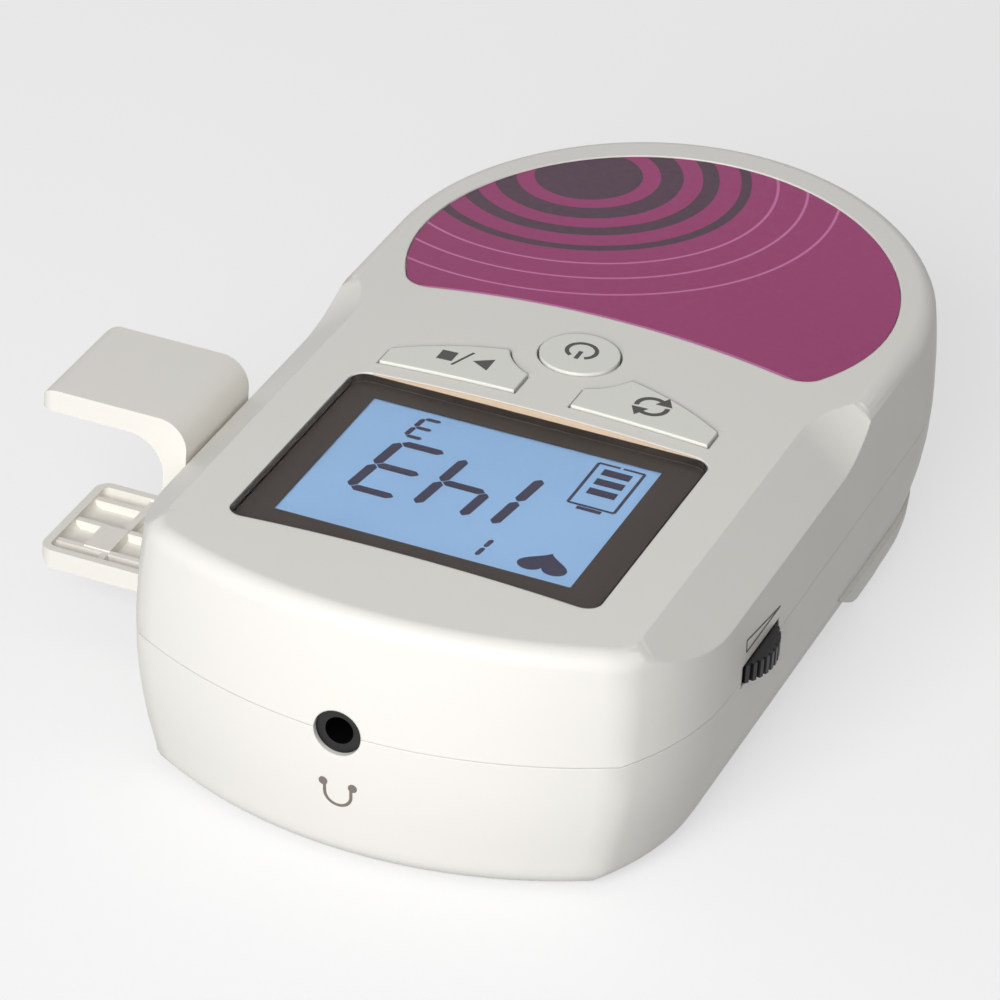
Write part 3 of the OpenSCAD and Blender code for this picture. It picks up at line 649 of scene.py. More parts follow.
CELL_BLUE = Plastic("cell_sleeve", linear(52, 112, 170), 0.25, 0.05, 0.06, 0.0, coat=0.5)
LIGHT_WHITE = Plastic("light_guide", linear(236, 240, 246), 0.5, 0.05, 0.02, 0.0)
CONE_GREY = Plastic("cone_paper", linear(58, 58, 62), 0.85, 0.1, 0.25, 0.00004)


# --- Mesh helpers ---------------------------------------------------------------------------------


def add_object(name: str, data: bpy.types.ID) -> bpy.types.Object:
    """Put a mesh, a lamp or a camera into the scene.

    Args:
        name: The object's name.
        data: What it shows.

    Returns:
        The new object.
    """
    made = bpy.data.objects.new(name, data)
    bpy.context.scene.collection.objects.link(made)
    return made


def mesh_object(name: str, mesh: bmesh.types.BMesh) -> bpy.types.Object:
    """Turn a bmesh into an object of the scene.

    Args:
        name: The object's name.
        mesh: Its bmesh, in metres and in place, which is freed.

    Returns:
        The new object.
    """
    data = bpy.data.meshes.new(name)
    mesh.to_mesh(data)
    mesh.free()
    return add_object(name, data)


def finish_piece(
    name: str, mesh: bmesh.types.BMesh, body: Body, finish: Finish
) -> bpy.types.Object:
    """Turn a bmesh into a piece that rides on a body.

    Args:
        name: The piece's name.
        mesh: Its bmesh, in metres and in place, which is freed.
        body: The body that it rides on.
        finish: The finish of its material.

    Returns:
        The new object.
    """
    piece = mesh_object(name, mesh)
    piece.data.materials.append(finish.build())
    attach(piece, body.value)
    log.info("%s: %d faces on %s", name, len(piece.data.polygons), body.value)
    return piece


def merged_copy(node: str, flat_angle: float = 1.0) -> bmesh.types.BMesh:
    """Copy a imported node's mesh, with its loose triangles merged.

    Args:
        node: The node's name.
        flat_angle: Faces that meet at less than this, in degrees, become one face. With 0
            every triangle stays.

    Returns:
        A bmesh of the copy.
    """
    same_spot = 2e-6
    mesh = bmesh.new()
    mesh.from_mesh(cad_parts[node].data)
    bmesh.ops.remove_doubles(mesh, verts=mesh.verts, dist=same_spot)
    bmesh.ops.dissolve_degenerate(mesh, edges=mesh.edges, dist=same_spot)
    if flat_angle:
        bmesh.ops.dissolve_limit(
            mesh,
            angle_limit=math.radians(flat_angle),
            verts=mesh.verts,
            edges=mesh.edges,
            use_dissolve_boundaries=False,
        )
    return mesh


def smooth_piece(piece: bpy.types.Object, sharp_angle: float) -> None:
    """Shade a piece smooth, apart from its sharp edges.

    Args:
        piece: The piece, whose packed normals are dropped.
        sharp_angle: Edges that turn by this much or more, in degrees, stay sharp.
    """
    packed = piece.data.attributes.get("custom_normal")
    if packed:
        piece.data.attributes.remove(packed)
    mesh = bmesh.new()
    mesh.from_mesh(piece.data)
    for face in mesh.faces:
        face.smooth = True
    for edge in mesh.edges:
        edge.smooth = edge.is_manifold and edge.calc_face_angle(math.pi) < math.radians(sharp_angle)
    mesh.to_mesh(piece.data)
    mesh.free()


def soften(piece: bpy.types.Object, width: float, angle: float = 30) -> None:
    """Round a piece's edges.

    Args:
        piece: The piece.
        width: Width of the rounding, in metres.
        angle: Only edges that turn by more than this, in degrees, are rounded.
    """
    modifier = piece.modifiers.new("soft_edges", "BEVEL")
    modifier.width = width
    modifier.segments = 3
    modifier.limit_method = "ANGLE"
    modifier.angle_limit = math.radians(angle)
    modifier.harden_normals = True
    modifier.use_clamp_overlap = True


def lay_on(mesh: bmesh.types.BMesh, node: str, way: Vector, reach: float = 0.1) -> None:
    """Drop a flat print onto a node's surface, keeping its thickness.

    Args:
        mesh: The print, whose height above its plane is measured against the way.
        node: The node that it lies on.
        way: The direction in which it drops, of length 1.
        reach: How far away the rays start, in metres.
    """
    tree = BVHTree.FromBMesh(merged_copy(node, 0))
    for vert in mesh.verts:
        height = -vert.co.dot(way)
        foot = vert.co + way * height
        hit, *_ = tree.ray_cast(foot - way * reach, way)
        if hit is not None:
            vert.co = hit - way * height


def thicken(mesh: bmesh.types.BMesh, height: float) -> None:
    """Raise a flat mesh into a closed solid.

    Args:
        mesh: The mesh, flat in z.
        height: The solid's thickness.
    """
    raised = bmesh.ops.extrude_face_region(mesh, geom=mesh.faces[:])["geom"]
    top = [item for item in raised if isinstance(item, bmesh.types.BMVert)]
    bmesh.ops.translate(mesh, vec=(0, 0, height), verts=top)
    bmesh.ops.recalc_face_normals(mesh, faces=mesh.faces)


def bar(length: float, width: float, height: float, ends: float = 0.0) -> bmesh.types.BMesh:
    """Make a flat bar along X, with pointed ends if asked.

    Args:
        length: Its whole length.
        width: Its width.
        height: Its thickness, from z = 0.
        ends: Length of each pointed end.

    Returns:
        The bar's bmesh.
    """
    tip_share = 0.12
    mesh = bmesh.new()
    bmesh.ops.create_cube(mesh, size=1.0)
    bmesh.ops.scale(mesh, vec=(length - 2 * ends, width, height), verts=mesh.verts)
    bmesh.ops.translate(mesh, vec=(0, 0, height / 2), verts=mesh.verts)
    if ends:
        tips = [f for f in mesh.faces if abs(f.normal.x) > 0.9]
        for face in tips:
            side = math.copysign(1, face.normal.x)
            moved = bmesh.ops.extrude_discrete_faces(mesh, faces=[face])["faces"]
            corners = moved[0].verts
            bmesh.ops.translate(mesh, vec=(side * ends, 0, 0), verts=corners)
            bmesh.ops.scale(mesh, vec=(1, tip_share, 1), verts=corners)
    return mesh


def disc(radius: float, height: float, sides: int = 24) -> bmesh.types.BMesh:
    """Make a flat disc.

    Args:
        radius: Its radius.
        height: Its thickness, from z = 0.
        sides: Number of its sides.

    Returns:
        The disc's bmesh.
    """
    mesh = bmesh.new()
    bmesh.ops.create_cone(
        mesh, cap_ends=True, segments=sides, radius1=radius, radius2=radius, depth=height
    )
    bmesh.ops.translate(mesh, vec=(0, 0, height / 2), verts=mesh.verts)
    return mesh


def arrow(length: float, width: float, height: float) -> bmesh.types.BMesh:
    """Make a flat arrow head that points along +X, centred on its length.

    Args:
        length: Its length.
        width: Width of its base.
        height: Its thickness, from z = 0.

    Returns:
        The arrow head's bmesh.
    """
    mesh = bmesh.new()
    corners = ((-length / 2, -width / 2), (length / 2, 0), (-length / 2, width / 2))
    mesh.faces.new([mesh.verts.new((x, y, 0)) for x, y in corners])
    thicken(mesh, height)
    return mesh


def arc(
    radius: float, width: float, height: float, start: float, sweep: float
) -> bmesh.types.BMesh:
    """Make a flat arc by spinning its section.

    Args:
        radius: Middle radius.
        width: Width of the arc.
        height: Its thickness, from z = 0.
        start: Angle at which it starts, in degrees.
        sweep: Angle that it covers, in degrees.

    Returns:
        The arc's bmesh.
    """
    mesh = bmesh.new()
    half = width / 2
    low = [mesh.verts.new((radius + side * half, 0, 0)) for side in (-1, 1)]
    high = [mesh.verts.new((radius + side * half, 0, height)) for side in (1, -1)]
    section = mesh.faces.new(low + high)
    bmesh.ops.rotate(mesh, matrix=Matrix.Rotation(math.radians(start), 3, "Z"), verts=mesh.verts)
    fewest_steps, step_angle = 6, 12
    bmesh.ops.spin(
        mesh,
        geom=[section, *section.edges, *section.verts],
        axis=(0, 0, 1),
        cent=(0, 0, 0),
        angle=math.radians(sweep),
        steps=max(fewest_steps, round(sweep / step_angle)),
    )
    bmesh.ops.recalc_face_normals(mesh, faces=mesh.faces)
    return mesh


def rounded_loop(
    centre: Vector, wide: float, long: float, radius: float, out: float
) -> list[Spot]:
    """Trace a rectangle with round corners.

    Args:
        centre: Its middle.
        wide: Its width along X.
        long: Its length along Y.
        radius: Radius of its corners.
        out: How far the whole outline is moved out.

    Returns:
        The corners' points in order.
    """
    steps = 8
    reach = radius + out
    points = []
    for turn, (sign_x, sign_y) in enumerate(((1, 1), (-1, 1), (-1, -1), (1, -1))):
        corner_x = centre.x + sign_x * (wide / 2 - radius)
        corner_y = centre.y + sign_y * (long / 2 - radius)
        for step in range(steps + 1):
            angle = math.radians(90 * (turn + step / steps))
            points.append(
                (corner_x + reach * math.cos(angle), corner_y + reach * math.sin(angle))
            )
    return points


def ring_of_rows(rows: list[list[Vector]]) -> bmesh.types.BMesh:
    """Join closed rows of points into a closed band, the last row to the first.

    Args:
        rows: The rows, each with as many points.

    Returns:
        The band's bmesh.
    """
    mesh = bmesh.new()
    verts = [[mesh.verts.new(point) for point in row] for row in rows]
    count = len(rows[0])
    for index, row in enumerate(verts):
        after = verts[(index + 1) % len(verts)]
        for step in range(count):
            ahead = (step + 1) % count
            mesh.faces.new((row[step], row[ahead], after[ahead], after[step]))
    bmesh.ops.recalc_face_normals(mesh, faces=mesh.faces)
    return mesh


def gather(parts: Iterable[tuple[bmesh.types.BMesh, Matrix]]) -> bmesh.types.BMesh:
    """Join bmeshes into one.

    Args:
        parts: Each bmesh, which is freed, and the matrix that moves it into place.

    Returns:
        The joined bmesh.
    """
    whole = bmesh.new()
    for part, place in parts:
        part.transform(place)
        data = bpy.data.meshes.new("part")
        part.to_mesh(data)
        part.free()
        whole.from_mesh(data)
        bpy.data.meshes.remove(data)
    return whole


def at(x: float, y: float, turn: float = 0.0) -> Matrix:
    """Return a move in the plane after a turn in degrees."""
    return Matrix.Translation((x, y, 0)) @ Matrix.Rotation(math.radians(turn), 4, "Z")


# --- Sub-assemblies -------------------------------------------------------------------------------


@dataclass
class CaseShells:
    """The two shells, the battery cover and the probe holder.

    Attributes:
        smooth_angle: Edges that turn by less than this, in degrees, are shaded smooth.
        lip_w: Width of the rounding along the holder's edges, in metres.
        deck_near: How close to the crown a corner of the deck lies, in metres.
        deck_angle: How far the normal of such a corner may lean, in degrees.
    """

    smooth_angle: float = 34.0
    lip_w: float = 0.0005
    deck_near: float = 0.00004
    deck_angle: float = 14.0

    def build(self) -> None:
        """Make the dressed shells, the cover and the holder."""
        for node, body in (
            ("upper_shell", Body.CASE),
            ("lower_shell", Body.CASE),
            ("battery_cover", Body.COVER),
        ):
            copy = merged_copy(node, 0)
            piece = finish_piece(f"dressed_{node}", copy, body, CASE_WHITE)
            smooth_piece(piece, self.smooth_angle)
            self.even_normals(piece)
            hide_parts(node)
        holder = finish_piece(
            "dressed_holder", merged_copy("probe_holder"), Body.CASE, HOLDER_WHITE
        )
        smooth_piece(holder, self.smooth_angle)
        soften(holder, self.lip_w)
        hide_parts("probe_holder")

    def even_normals(self, piece: bpy.types.Object) -> None:
        """Weigh a shell's normals by face area, and lay those of the deck square to its crown.

        Args:
            piece: The shell, whose weighted normals are kept in its mesh.
        """
        shade = piece.modifiers.new("even_shade", "WEIGHTED_NORMAL")
        shade.keep_sharp = True
        graph = bpy.context.evaluated_depsgraph_get()
        graph.update()
        data = bpy.data.meshes.new_from_object(piece.evaluated_get(graph))
        normals = [corner.vector.copy() for corner in data.corner_normals]
        for index, loop in enumerate(data.loops):
            spot = data.vertices[loop.vertex_index].co
            crown = Vector((spot.x, 0, math.sqrt(CROWN_R**2 - spot.x**2)))
            off = abs(TOP_Z - CROWN_R + crown.z - spot.z)
            lean = normals[index].angle(crown, math.pi)
            if off < self.deck_near and lean < math.radians(self.deck_angle):
                normals[index] = crown.normalized()
        piece.modifiers.clear()
        piece.data = data
        data.normals_split_custom_set(normals)


@dataclass
class Keys:
    """The three keys and the marks printed on them.

    Attributes:
        ink_t: Thickness of the printed marks, in metres.
        stroke: Width of a printed line, in metres.
        mode_spot: Place of the mode key's mark, in metres.
        play_spot: Place of the play key's mark, in metres.
        power_shift: How far the power mark lies behind the middle of its key, in metres.
        drop: How far above the mark's plane its way down to the key starts, in metres.
    """

    ink_t: float = 0.00003
    stroke: float = 0.00055
    mode_spot: Spot = (0.01275, -0.0051)
    play_spot: Spot = (-0.01255, -0.0053)
    power_shift: float = 0.00065
    drop: float = 0.12

    def build(self) -> None:
        """Make the dressed keys and their marks."""
        for body in (Body.POWER_KEY, Body.PLAY_KEY, Body.MODE_KEY):
            copy = merged_copy(body.value, 0)
            key = finish_piece(f"dressed_{body.value}", copy, body, KEY_WHITE)
            key.data.shade_flat()
            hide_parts(body.value)
        low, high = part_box("power_key")
        power_spot = ((low.x + high.x) / 2, (low.y + high.y) / 2 + self.power_shift)
        self.print_mark("power_mark", self.power_mark(), power_spot, Body.POWER_KEY)
        self.print_mark("play_mark", self.stop_play_mark(), self.play_spot, Body.PLAY_KEY)
        self.print_mark("mode_mark", self.cycle_mark(), self.mode_spot, Body.MODE_KEY)

    def print_mark(self, name: str, mesh: bmesh.types.BMesh, spot: Spot, body: Body) -> None:
        """Lay a mark on its key, turned so that its top points to the front of the case.

        Args:
            name: The mark's name.
            mesh: Its bmesh, centred.
            spot: Its place on the case.
            body: The key's body.
        """
        mesh.transform(Matrix.Translation((*spot, 0)) @ Matrix.Rotation(math.pi, 4, "Z"))
        lay_on(mesh, body.value, DOWN, self.drop)
        finish_piece(name, mesh, body, ICON_GREY)

    def power_mark(self) -> bmesh.types.BMesh:
        """Make the open ring and its bar."""
        radius, gap = 0.0019, 60
        bar_l, bar_y = 0.002, 0.0012
        ring = arc(radius, self.stroke, self.ink_t, 90 + gap / 2, 360 - gap)
        return gather(
            [
                (ring, at(0, 0)),
                (bar(bar_l, self.stroke, self.ink_t), at(0, bar_y, 90)),
            ]
        )

    def stop_play_mark(self) -> bmesh.types.BMesh:
        """Make a triangle, a leaning stroke and a square."""
        triangle_l, triangle_w, triangle_x = 0.0024, 0.003, -0.0026
        stroke_l, stroke_w, lean = 0.0042, self.stroke * 0.6, 70
        square_w, square_h, square_x = 0.0021, 0.0023, 0.0021
        return gather(
            [
                (arrow(triangle_l, triangle_w, self.ink_t), at(triangle_x, 0)),
                (bar(stroke_l, stroke_w, self.ink_t), at(0, 0, lean)),
                (bar(square_w, square_h, self.ink_t), at(square_x, 0)),
            ]
        )

    def cycle_mark(self) -> bmesh.types.BMesh:
        """Make two arcs that chase each other, each with a head."""
        radius, sweep, stroke_w = 0.00195, 132, self.stroke * 1.15
        head_angle, head_l, head_w, head_ahead = 62, 0.0018, 0.0024, 0.0007
        parts = []
        for turn in (0, 180):
            spin = at(0, 0, turn)
            parts.append((arc(radius, stroke_w, self.ink_t, head_angle, sweep), spin))
            head = at(0, 0, head_angle) @ at(radius, -head_ahead, -90)
            parts.append((arrow(head_l, head_w, self.ink_t), spin @ head))
        return gather(parts)


class Bar(Enum):
    """The seven bars of a digit: place in half widths and quarter heights, and if it is upright."""

    TOP = (0, 2, False)
    UPPER_LEFT = (-1, 1, True)
    UPPER_RIGHT = (1, 1, True)
    MIDDLE = (0, 0, False)
    LOWER_LEFT = (-1, -1, True)
    LOWER_RIGHT = (1, -1, True)
    BOTTOM = (0, -2, False)


DIGITS = {
    1: (Bar.UPPER_RIGHT, Bar.LOWER_RIGHT),
    3: (Bar.TOP, Bar.UPPER_RIGHT, Bar.MIDDLE, Bar.LOWER_RIGHT, Bar.BOTTOM),
    4: (Bar.UPPER_LEFT, Bar.UPPER_RIGHT, Bar.MIDDLE, Bar.LOWER_RIGHT),
}


@dataclass
class Display:
    """The lens, its printed border and the picture on the display.

    The picture is laid out as its reader sees it, with x to the right and y up, in metres from
    the middle of the window.

    Attributes:
        window_w: Width of the clear window in the lens.
        window_l: Length of the clear window.
        window_shift: How far the window's middle lies from the lens's middle, sideways and back.
        print_t: Thickness of the printed border.
        segment_t: Thickness of the picture.
        lens_corner_r: Radius of the lens's corners.
        band_drop: How far the dark edge band ends below the lens's top.
        band_near: Gap between the lens and the band.
        band_far: How far the band reaches out from the lens.
        digit_h: Height of a large digit.
        digit_w: Width of a large digit between its upright bars.
        digit_stroke: Width of a large digit's bars.
        stroke_power: How the bars' width follows a digit's scale, as a power of it.
        slant: How far a digit leans, in degrees.
        digit_spots: Each digit's value, x, y and scale.
        heart_spot: Middle of the heart.
        level_spot: Middle of the battery level.
        middle: Middle of the window, found by build.
        lens_low: Lowest corner of the lens, found by build.
        lens_high: Highest corner of the lens, found by build.
        ground_z: Height of the picture's ground, found by build.
    """

    window_w: float = 0.0382
    window_l: float = 0.0298
    window_shift: Spot = (-0.00045, 0.0007)
    print_t: float = 0.00006
    segment_t: float = 0.00002
    lens_corner_r: float = 0.002
    band_drop: float = 0.00005
    band_near: float = 0.00002
    band_far: float = 0.0001
    digit_h: float = 0.0123
    digit_w: float = 0.006
    digit_stroke: float = 0.00135
    stroke_power: float = 0.7
    slant: float = 6.4
    digit_spots: tuple[tuple[int, float, float, float], ...] = (
        (1, -0.009, -0.0005, 1.0),
        (4, 0.001, -0.0005, 1.0),
        (3, 0.0097, -0.0005, 1.0),
        (3, 0.0108, -0.011, 0.39),
        (1, -0.0076, 0.0111, 0.35),
    )
    heart_spot: Spot = (-0.0143, 0.0113)
    level_spot: Spot = (-0.01435, -0.0086)
    middle: Vector = field(init=False)
    lens_low: Vector = field(init=False)
    lens_high: Vector = field(init=False)
    ground_z: float = field(init=False)

    def build(self) -> None:
        """Make the lens's border, the picture's ground and its segments."""
        self.lens_low, self.lens_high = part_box("lens")
        self.middle = (self.lens_low + self.lens_high) / 2 + Vector((*self.window_shift, 0))
        self.ground_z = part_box("lcd_glass")[1].z
        self.make_lens()
        self.make_border()
        self.make_reflection_strip()
        self.make_segments()

    def make_lens(self) -> None:
        """Make the clear lens and the dark band round its edge."""
        lens = finish_piece("dressed_lens", merged_copy("lens"), Body.CASE, ClearLens())
        sharp_angle = 30
        smooth_piece(lens, sharp_angle)
        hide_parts("lens")
        low, high = self.lens_low, self.lens_high
        centre, span = (low + high) / 2, high - low
        foot, top = low.z, high.z - self.band_drop
        near, far = self.band_near, self.band_far
        rows = []
        for out, z in ((near, foot), (far, foot), (far, top), (near, top)):
            loop = rounded_loop(centre, span.x, span.y, self.lens_corner_r, out)
            rows.append([Vector((x, y, z)) for x, y in loop])
        # The band stands round the lens's sides, in the gap to the recess wall, and takes the
        # border's dark colour.
        band = ring_of_rows(rows)
        finish_piece("lens_edge_band", band, Body.CASE, BORDER_BROWN)

    def make_border(self) -> None:
        """Make the dark border printed on the underside of the lens, round the window."""
        inset, corner_r, lift = 0.00012, 0.0019, 0.00004
        wide = self.lens_high.x - self.lens_low.x - 2 * inset
        long = self.lens_high.y - self.lens_low.y - 2 * inset
        centre = (self.lens_low + self.lens_high) / 2
        mesh = bmesh.new()
        bmesh.ops.create_grid(mesh, x_segments=1, y_segments=1, size=0.5)
        bmesh.ops.scale(mesh, vec=(wide, long, 1), verts=mesh.verts)
        bmesh.ops.translate(mesh, vec=(centre.x, centre.y, 0), verts=mesh.verts)
        bmesh.ops.bevel(
            mesh,
            geom=mesh.verts[:],
            affect="VERTICES",
            offset=corner_r,
            offset_type="OFFSET",
            segments=8,
            profile=0.5,
            material=-1,
        )
        half_w, half_l = self.window_w / 2, self.window_l / 2
        for normal, half in ((Vector((1, 0, 0)), half_w), (Vector((0, 1, 0)), half_l)):
            for side in (-1, 1):
                bmesh.ops.bisect_plane(
                    mesh,
                    geom=mesh.verts[:] + mesh.edges[:] + mesh.faces[:],
                    plane_co=normal * (self.middle.dot(normal) + side * half),
                    plane_no=normal,
                )
        window = []
        for face in mesh.faces:
            off = face.calc_center_median() - self.middle
            if abs(off.x) < half_w and abs(off.y) < half_l:
                window.append(face)
        bmesh.ops.delete(mesh, geom=window, context="FACES")
        thicken(mesh, self.print_t)
        bmesh.ops.translate(mesh, vec=(0, 0, self.lens_low.z + lift), verts=mesh.verts)
        finish_piece("lens_border", mesh, Body.CASE, BORDER_BROWN)

    def make_reflection_strip(self) -> None:
        """Make the pale beige strip on the rear wall of the lens's recess, under the crowned top,
        whose colour is a painted reflection.
        """
        gap, sink, thick, under, steps = 0.00024, 0.0005, 0.00012, 0.00008, 24
        half = (self.lens_high.x - self.lens_low.x) / 2 - self.lens_corner_r
        mesh = bmesh.new()
        rows = []
        for step in range(steps + 1):
            x = half * (2 * step / steps - 1)
            top = TOP_Z - CROWN_R + math.sqrt(CROWN_R**2 - x**2) - under
            y = self.lens_high.y + gap
            low = self.lens_high.z - sink
            spots = ((y - thick, low), (y, low), (y, top), (y - thick, top))
            rows.append([mesh.verts.new((x, *spot)) for spot in spots])
        for first, second in zip(rows, rows[1:]):
            for index in range(4):
                after = (index + 1) % 4
                mesh.faces.new((first[index], second[index], second[after], first[after]))
        for row in (rows[0], rows[-1]):
            mesh.faces.new(row)
        bmesh.ops.recalc_face_normals(mesh, faces=mesh.faces)
        finish_piece("recess_reflection_strip", mesh, Body.CASE, REFLECTION_BEIGE)

    def lay_picture(self, name: str, mesh: bmesh.types.BMesh) -> None:
        """Put a part of the picture on the ground, turned to its reader.

        Args:
            name: The part's name.
            mesh: Its bmesh, laid out as its reader sees it.
        """
        lift = 0.00001
        spot = (self.middle.x, self.middle.y, self.ground_z + lift)
        mesh.transform(Matrix.Translation(spot) @ Matrix.Rotation(math.pi, 4, "Z"))
        finish_piece(name, mesh, Body.CASE, SEGMENT_NAVY)

    def digit(self, value: int, scale: float) -> bmesh.types.BMesh:
        """Make one slanted digit, centred, from pointed bars.

        Args:
            value: The digit.
            scale: Its size as a share of a large digit.

        Returns:
            The digit's bmesh.
        """
        half_h, half_w = self.digit_h / 2 * scale, self.digit_w / 2 * scale
        stroke = self.digit_stroke * scale**self.stroke_power
        upright_gap, level_gap, point = 0.0002, stroke * 0.4, stroke * 0.45
        parts = []
        for spot in DIGITS[value]:
            x, y, upright = spot.value
            place = at(x * half_w, y * half_h / 2, 90 if upright else 0)
            length = half_h - upright_gap if upright else 2 * half_w - level_gap
            parts.append((bar(length, stroke, self.segment_t, point), place))
        mesh = gather(parts)
        shear = Matrix.Identity(4)
        shear[0][1] = math.tan(math.radians(self.slant))
        mesh.transform(shear)
        return mesh

    def make_segments(self) -> None:
        """Make the digits, the heart and the battery level."""
        for index, (value, x, y, scale) in enumerate(self.digit_spots):
            mesh = self.digit(value, scale)
            bmesh.ops.translate(mesh, vec=(x, y, 0), verts=mesh.verts)
            self.lay_picture(f"display_digit_{index + 1}", mesh)
        self.lay_picture("display_heart", self.heart())
        self.lay_picture("display_battery", self.battery_level())

    def heart(self) -> bmesh.types.BMesh:
        """Make a wide heart.

        Returns:
            The heart's bmesh, traced by the usual sum of four cosines for its height.
        """
        wide, tall, points = 0.0063, 0.0048, 40
        waves, waves_span = (13, -5, -2, -1), 29
        mesh = bmesh.new()
        outline = []
        for step in range(points):
            turn = math.tau * step / points
            x = math.sin(turn) ** 3
            y = sum(wave * math.cos((i + 1) * turn) for i, wave in enumerate(waves)) / waves_span
            outline.append(mesh.verts.new((x * wide / 2, y * tall, 0)))
        mesh.faces.new(outline)
        thicken(mesh, self.segment_t)
        bmesh.ops.translate(mesh, vec=(*self.heart_spot, 0), verts=mesh.verts)
        return mesh

    def battery_level(self) -> bmesh.types.BMesh:
        """Make the battery level.

        Returns:
            The bmesh of a cell's outline with a notch in its foot, its cap and three level bars.
        """
        thin, wide, tall, line, notch = self.segment_t, 0.006, 0.0103, 0.0004, 0.0004
        level_w, level_h, level_y, level_step = 0.0037, 0.0015, -0.00335, 0.00243
        cap_w, cap_h = 0.0032, 0.0007
        parts = [(bar(wide, line, thin), at(0, tall / 2))]
        parts += [(bar(tall, line, thin), at(side * wide / 2, 0, 90)) for side in (-1, 1)]
        foot = (wide - notch) / 2
        for side in (-1, 1):
            parts.append((bar(foot, line, thin), at(side * (foot + notch) / 2, -tall / 2)))
        for step in range(3):
            parts.append((bar(level_w, level_h, thin), at(0, level_y + step * level_step)))
        parts.append((bar(cap_w, cap_h, thin), at(0, tall / 2 + cap_h)))
        mesh = gather(parts)
        bmesh.ops.translate(mesh, vec=(*self.level_spot, 0), verts=mesh.verts)
        return mesh


@dataclass
class WallMarks:
    """The marks printed on the case's walls.

    Attributes:
        ink_t: Thickness of the print, in metres.
        headphone_z: Height of the headphone mark's middle.
        headphone_x: The mark's distance from the middle line.
        volume_foot: Place along the body and height of the volume mark's tall end.
        volume_l: Length of the volume mark.
        volume_h: Height of the volume mark at its tall end.
        volume_line: Width of the volume mark's lines.
    """

    ink_t: float = 0.00004
    headphone_z: float = 0.0106
    headphone_x: float = -0.0009
    volume_foot: Spot = (-0.0336, 0.0225)
    volume_l: float = 0.0117
    volume_h: float = 0.0016
    volume_line: float = 0.00022

    def build(self) -> None:
        """Make both marks and lay them on the walls."""
        mark = self.headphone_mark()
        stand = Matrix.Rotation(math.radians(90), 4, "X")
        mark.transform(Matrix.Translation((self.headphone_x, 0, self.headphone_z)) @ stand)
        lay_on(mark, "lower_shell", BACK)
        finish_piece("headphone_mark", mark, Body.CASE, MARK_BROWN)
        wedge = self.volume_mark()
        side = Matrix.Rotation(math.radians(90), 4, "Z") @ stand
        wedge.transform(Matrix.Translation((0, *self.volume_foot)) @ side)
        lay_on(wedge, "upper_shell", LEFT)
        finish_piece("volume_mark", wedge, Body.CASE, LINE_BLACK)

    def headphone_mark(self) -> bmesh.types.BMesh:
        """Make the headphone mark.

        Returns:
            The bmesh of a band that hangs between two ear pieces, drawn in x and y.
        """
        radius, line, band_y = 0.0017, 0.0004, -0.0003
        arm_l, arm_y = 0.0011, 0.0002
        ear_r, ear_out, ear_y = 0.00058, 0.0002, 0.0011
        parts = [(arc(radius, line, self.ink_t, 180, 180), at(0, band_y))]
        for side in (-1, 1):
            parts.append((bar(arm_l, line, self.ink_t), at(side * radius, arm_y, 90)))
            parts.append((disc(ear_r, self.ink_t), at(side * (radius + ear_out), ear_y)))
        return gather(parts)

    def volume_mark(self) -> bmesh.types.BMesh:
        """Make the volume mark, in short pieces that follow the wall.

        Returns:
            The bmesh of a long thin wedge's outline, drawn in x and y, with its tall end at x = 0.
        """
        line, thick, pieces = self.volume_line, self.ink_t, 8
        lean = -math.degrees(math.atan2(self.volume_h, self.volume_l))
        foot_l = self.volume_l / pieces
        top_l = math.hypot(self.volume_h, self.volume_l) / pieces
        parts = []
        for step in range(pieces):
            share = (step + 0.5) / pieces
            x, y = self.volume_l * share, self.volume_h * (1 - share)
            parts.append((bar(foot_l, line, thick), at(x, 0)))
            parts.append((bar(top_l, line, thick), at(x, y, lean)))
        parts.append((bar(self.volume_h, line, thick), at(0, self.volume_h / 2, 90)))
        return gather(parts)


@dataclass
class KeptParts:
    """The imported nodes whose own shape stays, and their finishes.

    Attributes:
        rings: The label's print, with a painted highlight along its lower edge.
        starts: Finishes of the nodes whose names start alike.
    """

    rings: PrintedLabel = PrintedLabel(
        centre=(-0.0175, 0.0495),
        discs=((-0.0072, 0.0072), (0.0096, 0.0126), (0.0152, 0.0174), (0.0203, 0.0217)),
        lines=(0.0252, 0.0292, 0.0336),
        edge_centre_y=LABEL_EDGE_Y - LABEL_EDGE_R,
        edge_r=LABEL_EDGE_R,
    )
    starts: tuple[tuple[str, Finish], ...] = (
        ("contact_", STEEL),
        ("screw_", STEEL),
        ("cell_", CELL_BLUE),
    )

    def build(self) -> None:
        """Dress each kept node."""
        finishes: dict[str, Finish] = {
            "label": self.rings,
            "battery_tray": CASE_WHITE,
            "lcd_glass": LitDisplay(),
            "lcd_backlight": LIGHT_WHITE,
            "lcd_frame": DULL_BLACK,
            "main_board": BOARD_GREEN,
            "volume_wheel": WHEEL_BLACK,
            "volume_pot": POT_BROWN,
            "wheel_screw": STEEL,
            "headphone_jack": GLOSS_BLACK,
            "probe_socket": GLOSS_BLACK,
            "speaker": CONE_GREY,
            "speaker_mesh": WovenMesh(),
            "shield_can": STEEL,
            "main_chip": DULL_BLACK,
            "power_switch": DULL_BLACK,
            "play_switch": DULL_BLACK,
            "mode_switch": DULL_BLACK,
        }
        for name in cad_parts:
            for start, finish in self.starts:
                if name.startswith(start):
                    finishes[name] = finish
        for name, finish in finishes.items():
            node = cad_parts[name]
            node.data.materials.clear()
            node.data.materials.append(finish.build())
            log.info("%s: kept node, %s", name, node.data.materials[0].name)


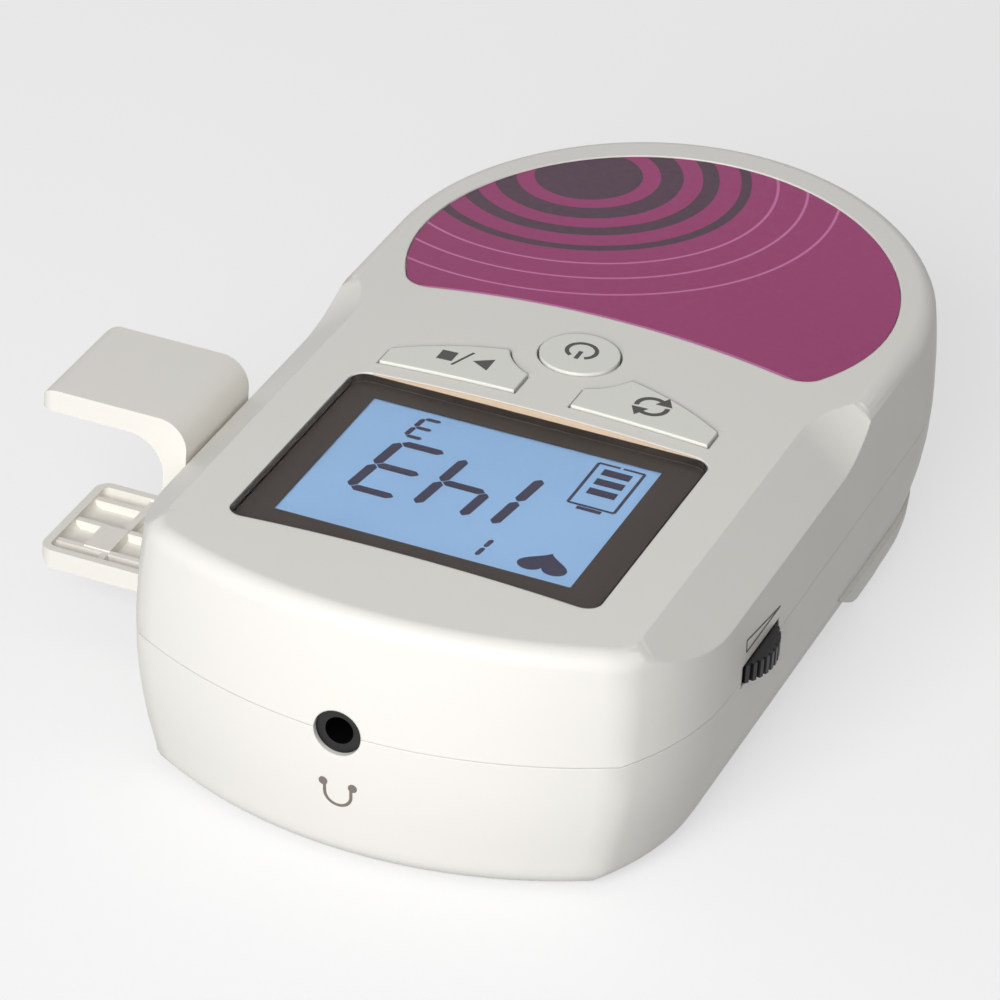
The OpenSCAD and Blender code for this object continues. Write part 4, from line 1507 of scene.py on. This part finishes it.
@dataclass
class Studio:
    """The floor, the lamps, the world and the camera.

    Attributes:
        floor_tilt: Slope of the floor along the body, in degrees, as the battery bulge lifts it.
        floor_y: Where along the body the floor is as low as the bulge.
        floor_half: Half the floor's width.
        floor_grey: Share of light that the floor throws back.
        key_spot: Place of the main lamp.
        key_size: Width of the main lamp.
        key_power: Power of the main lamp, in watts.
        sky: Strength of the even light from all round.
        azimuth: The camera's angle round the object, in degrees from the front.
        elevation: The camera's angle above the level, in degrees.
        roll: How far the camera leans, in degrees.
        distance: The camera's distance from its target.
        focal_px: The camera's focal length, in pixels of the picture.
        image_px: Width of the picture, in pixels.
        target: The point at height 0 that the camera looks at.
    """

    floor_tilt: float = -3.1
    floor_y: float = 0.028
    floor_half: float = 6.0
    floor_grey: float = 0.43
    key_spot: tuple[float, float, float] = (0.03, -0.9, 0.46)
    key_size: float = 0.55
    key_power: float = 9.8
    sky: float = 0.29
    azimuth: float = 20.603
    elevation: float = 30.868
    roll: float = 3.945
    distance: float = 0.736998
    focal_px: float = 5594.0
    image_px: float = 1000.0
    target: Spot = (-0.0159, 0.0202)

    def build(self) -> None:
        """Make the whole stage."""
        self.make_camera()
        self.make_floor()
        self.make_world()
        self.make_lamp()
        bpy.context.scene.view_settings.view_transform = "Standard"

    def make_camera(self) -> None:
        """Make the camera at the photograph's angle."""
        turn, rise, roll = (math.radians(a) for a in (self.azimuth, self.elevation, self.roll))
        back = Vector(
            (math.sin(turn) * math.cos(rise), -math.cos(turn) * math.cos(rise), math.sin(rise))
        )
        right = Vector((math.cos(turn), math.sin(turn), 0))
        up = back.cross(right)
        tilted_right = right * math.cos(roll) + up * math.sin(roll)
        tilted_up = up * math.cos(roll) - right * math.sin(roll)
        lens = bpy.data.cameras.new("camera")
        lens.sensor_fit = "HORIZONTAL"
        lens.lens = self.focal_px / self.image_px * lens.sensor_width
        lens.clip_start, lens.clip_end = 0.01, 20.0
        camera = add_object("camera", lens)
        turned = Matrix((tilted_right, tilted_up, back)).transposed().to_4x4()
        spot = Vector((*self.target, 0)) + back * self.distance
        camera.matrix_world = Matrix.Translation(spot) @ turned
        bpy.context.scene.camera = camera

    def make_floor(self) -> None:
        """Make the pale floor, which touches the front edge and the bulge."""
        mesh = bmesh.new()
        bmesh.ops.create_grid(mesh, x_segments=1, y_segments=1, size=self.floor_half)
        floor = mesh_object("floor", mesh)
        floor.location = (0, self.floor_y, CAD_BOX[0].z)
        floor.rotation_euler = (math.radians(self.floor_tilt), 0, 0)
        material, sketch, shader = blank_material("floor")
        sketch.fill(
            shader,
            {
                "Base Color": opaque((self.floor_grey,) * 3),
                "Roughness": 0.9,
                "Specular IOR Level": 0.0,
                "Emission Color": (1, 1, 1, 1),
                "Emission Strength": sketch.math(
                    "MULTIPLY", sketch.seen_rays(), 1 - self.floor_grey
                ),
            },
        )
        floor.data.materials.append(material)

    def make_world(self) -> None:
        """Make the even white light, which the camera sees as white."""
        world = bpy.data.worlds.new("studio")
        world.use_nodes = True
        bpy.context.scene.world = world
        sketch = Sketch(world.node_tree)
        strength = sketch.math("MULTIPLY_ADD", sketch.seen_rays(), 1 - self.sky, self.sky)
        background = world.node_tree.nodes["Background"]
        sketch.fill(background, {"Color": (1, 1, 1, 1), "Strength": strength})

    def make_lamp(self) -> None:
        """Make the main lamp, a square that points at the object."""
        light = bpy.data.lights.new("key_lamp", "AREA")
        light.size = self.key_size
        light.energy = self.key_power
        lamp = add_object("key_lamp", light)
        lamp.location = self.key_spot
        lamp.rotation_euler = (-Vector(self.key_spot)).to_track_quat("-Z", "Y").to_euler()


def main() -> None:
    """Build every part of the scene."""
    for builder in (Studio(), CaseShells(), Keys(), Display(), WallMarks(), KeptParts()):
        log.info("building %s", type(builder).__name__)
        builder.build()


if __name__ == "__main__":
    main()
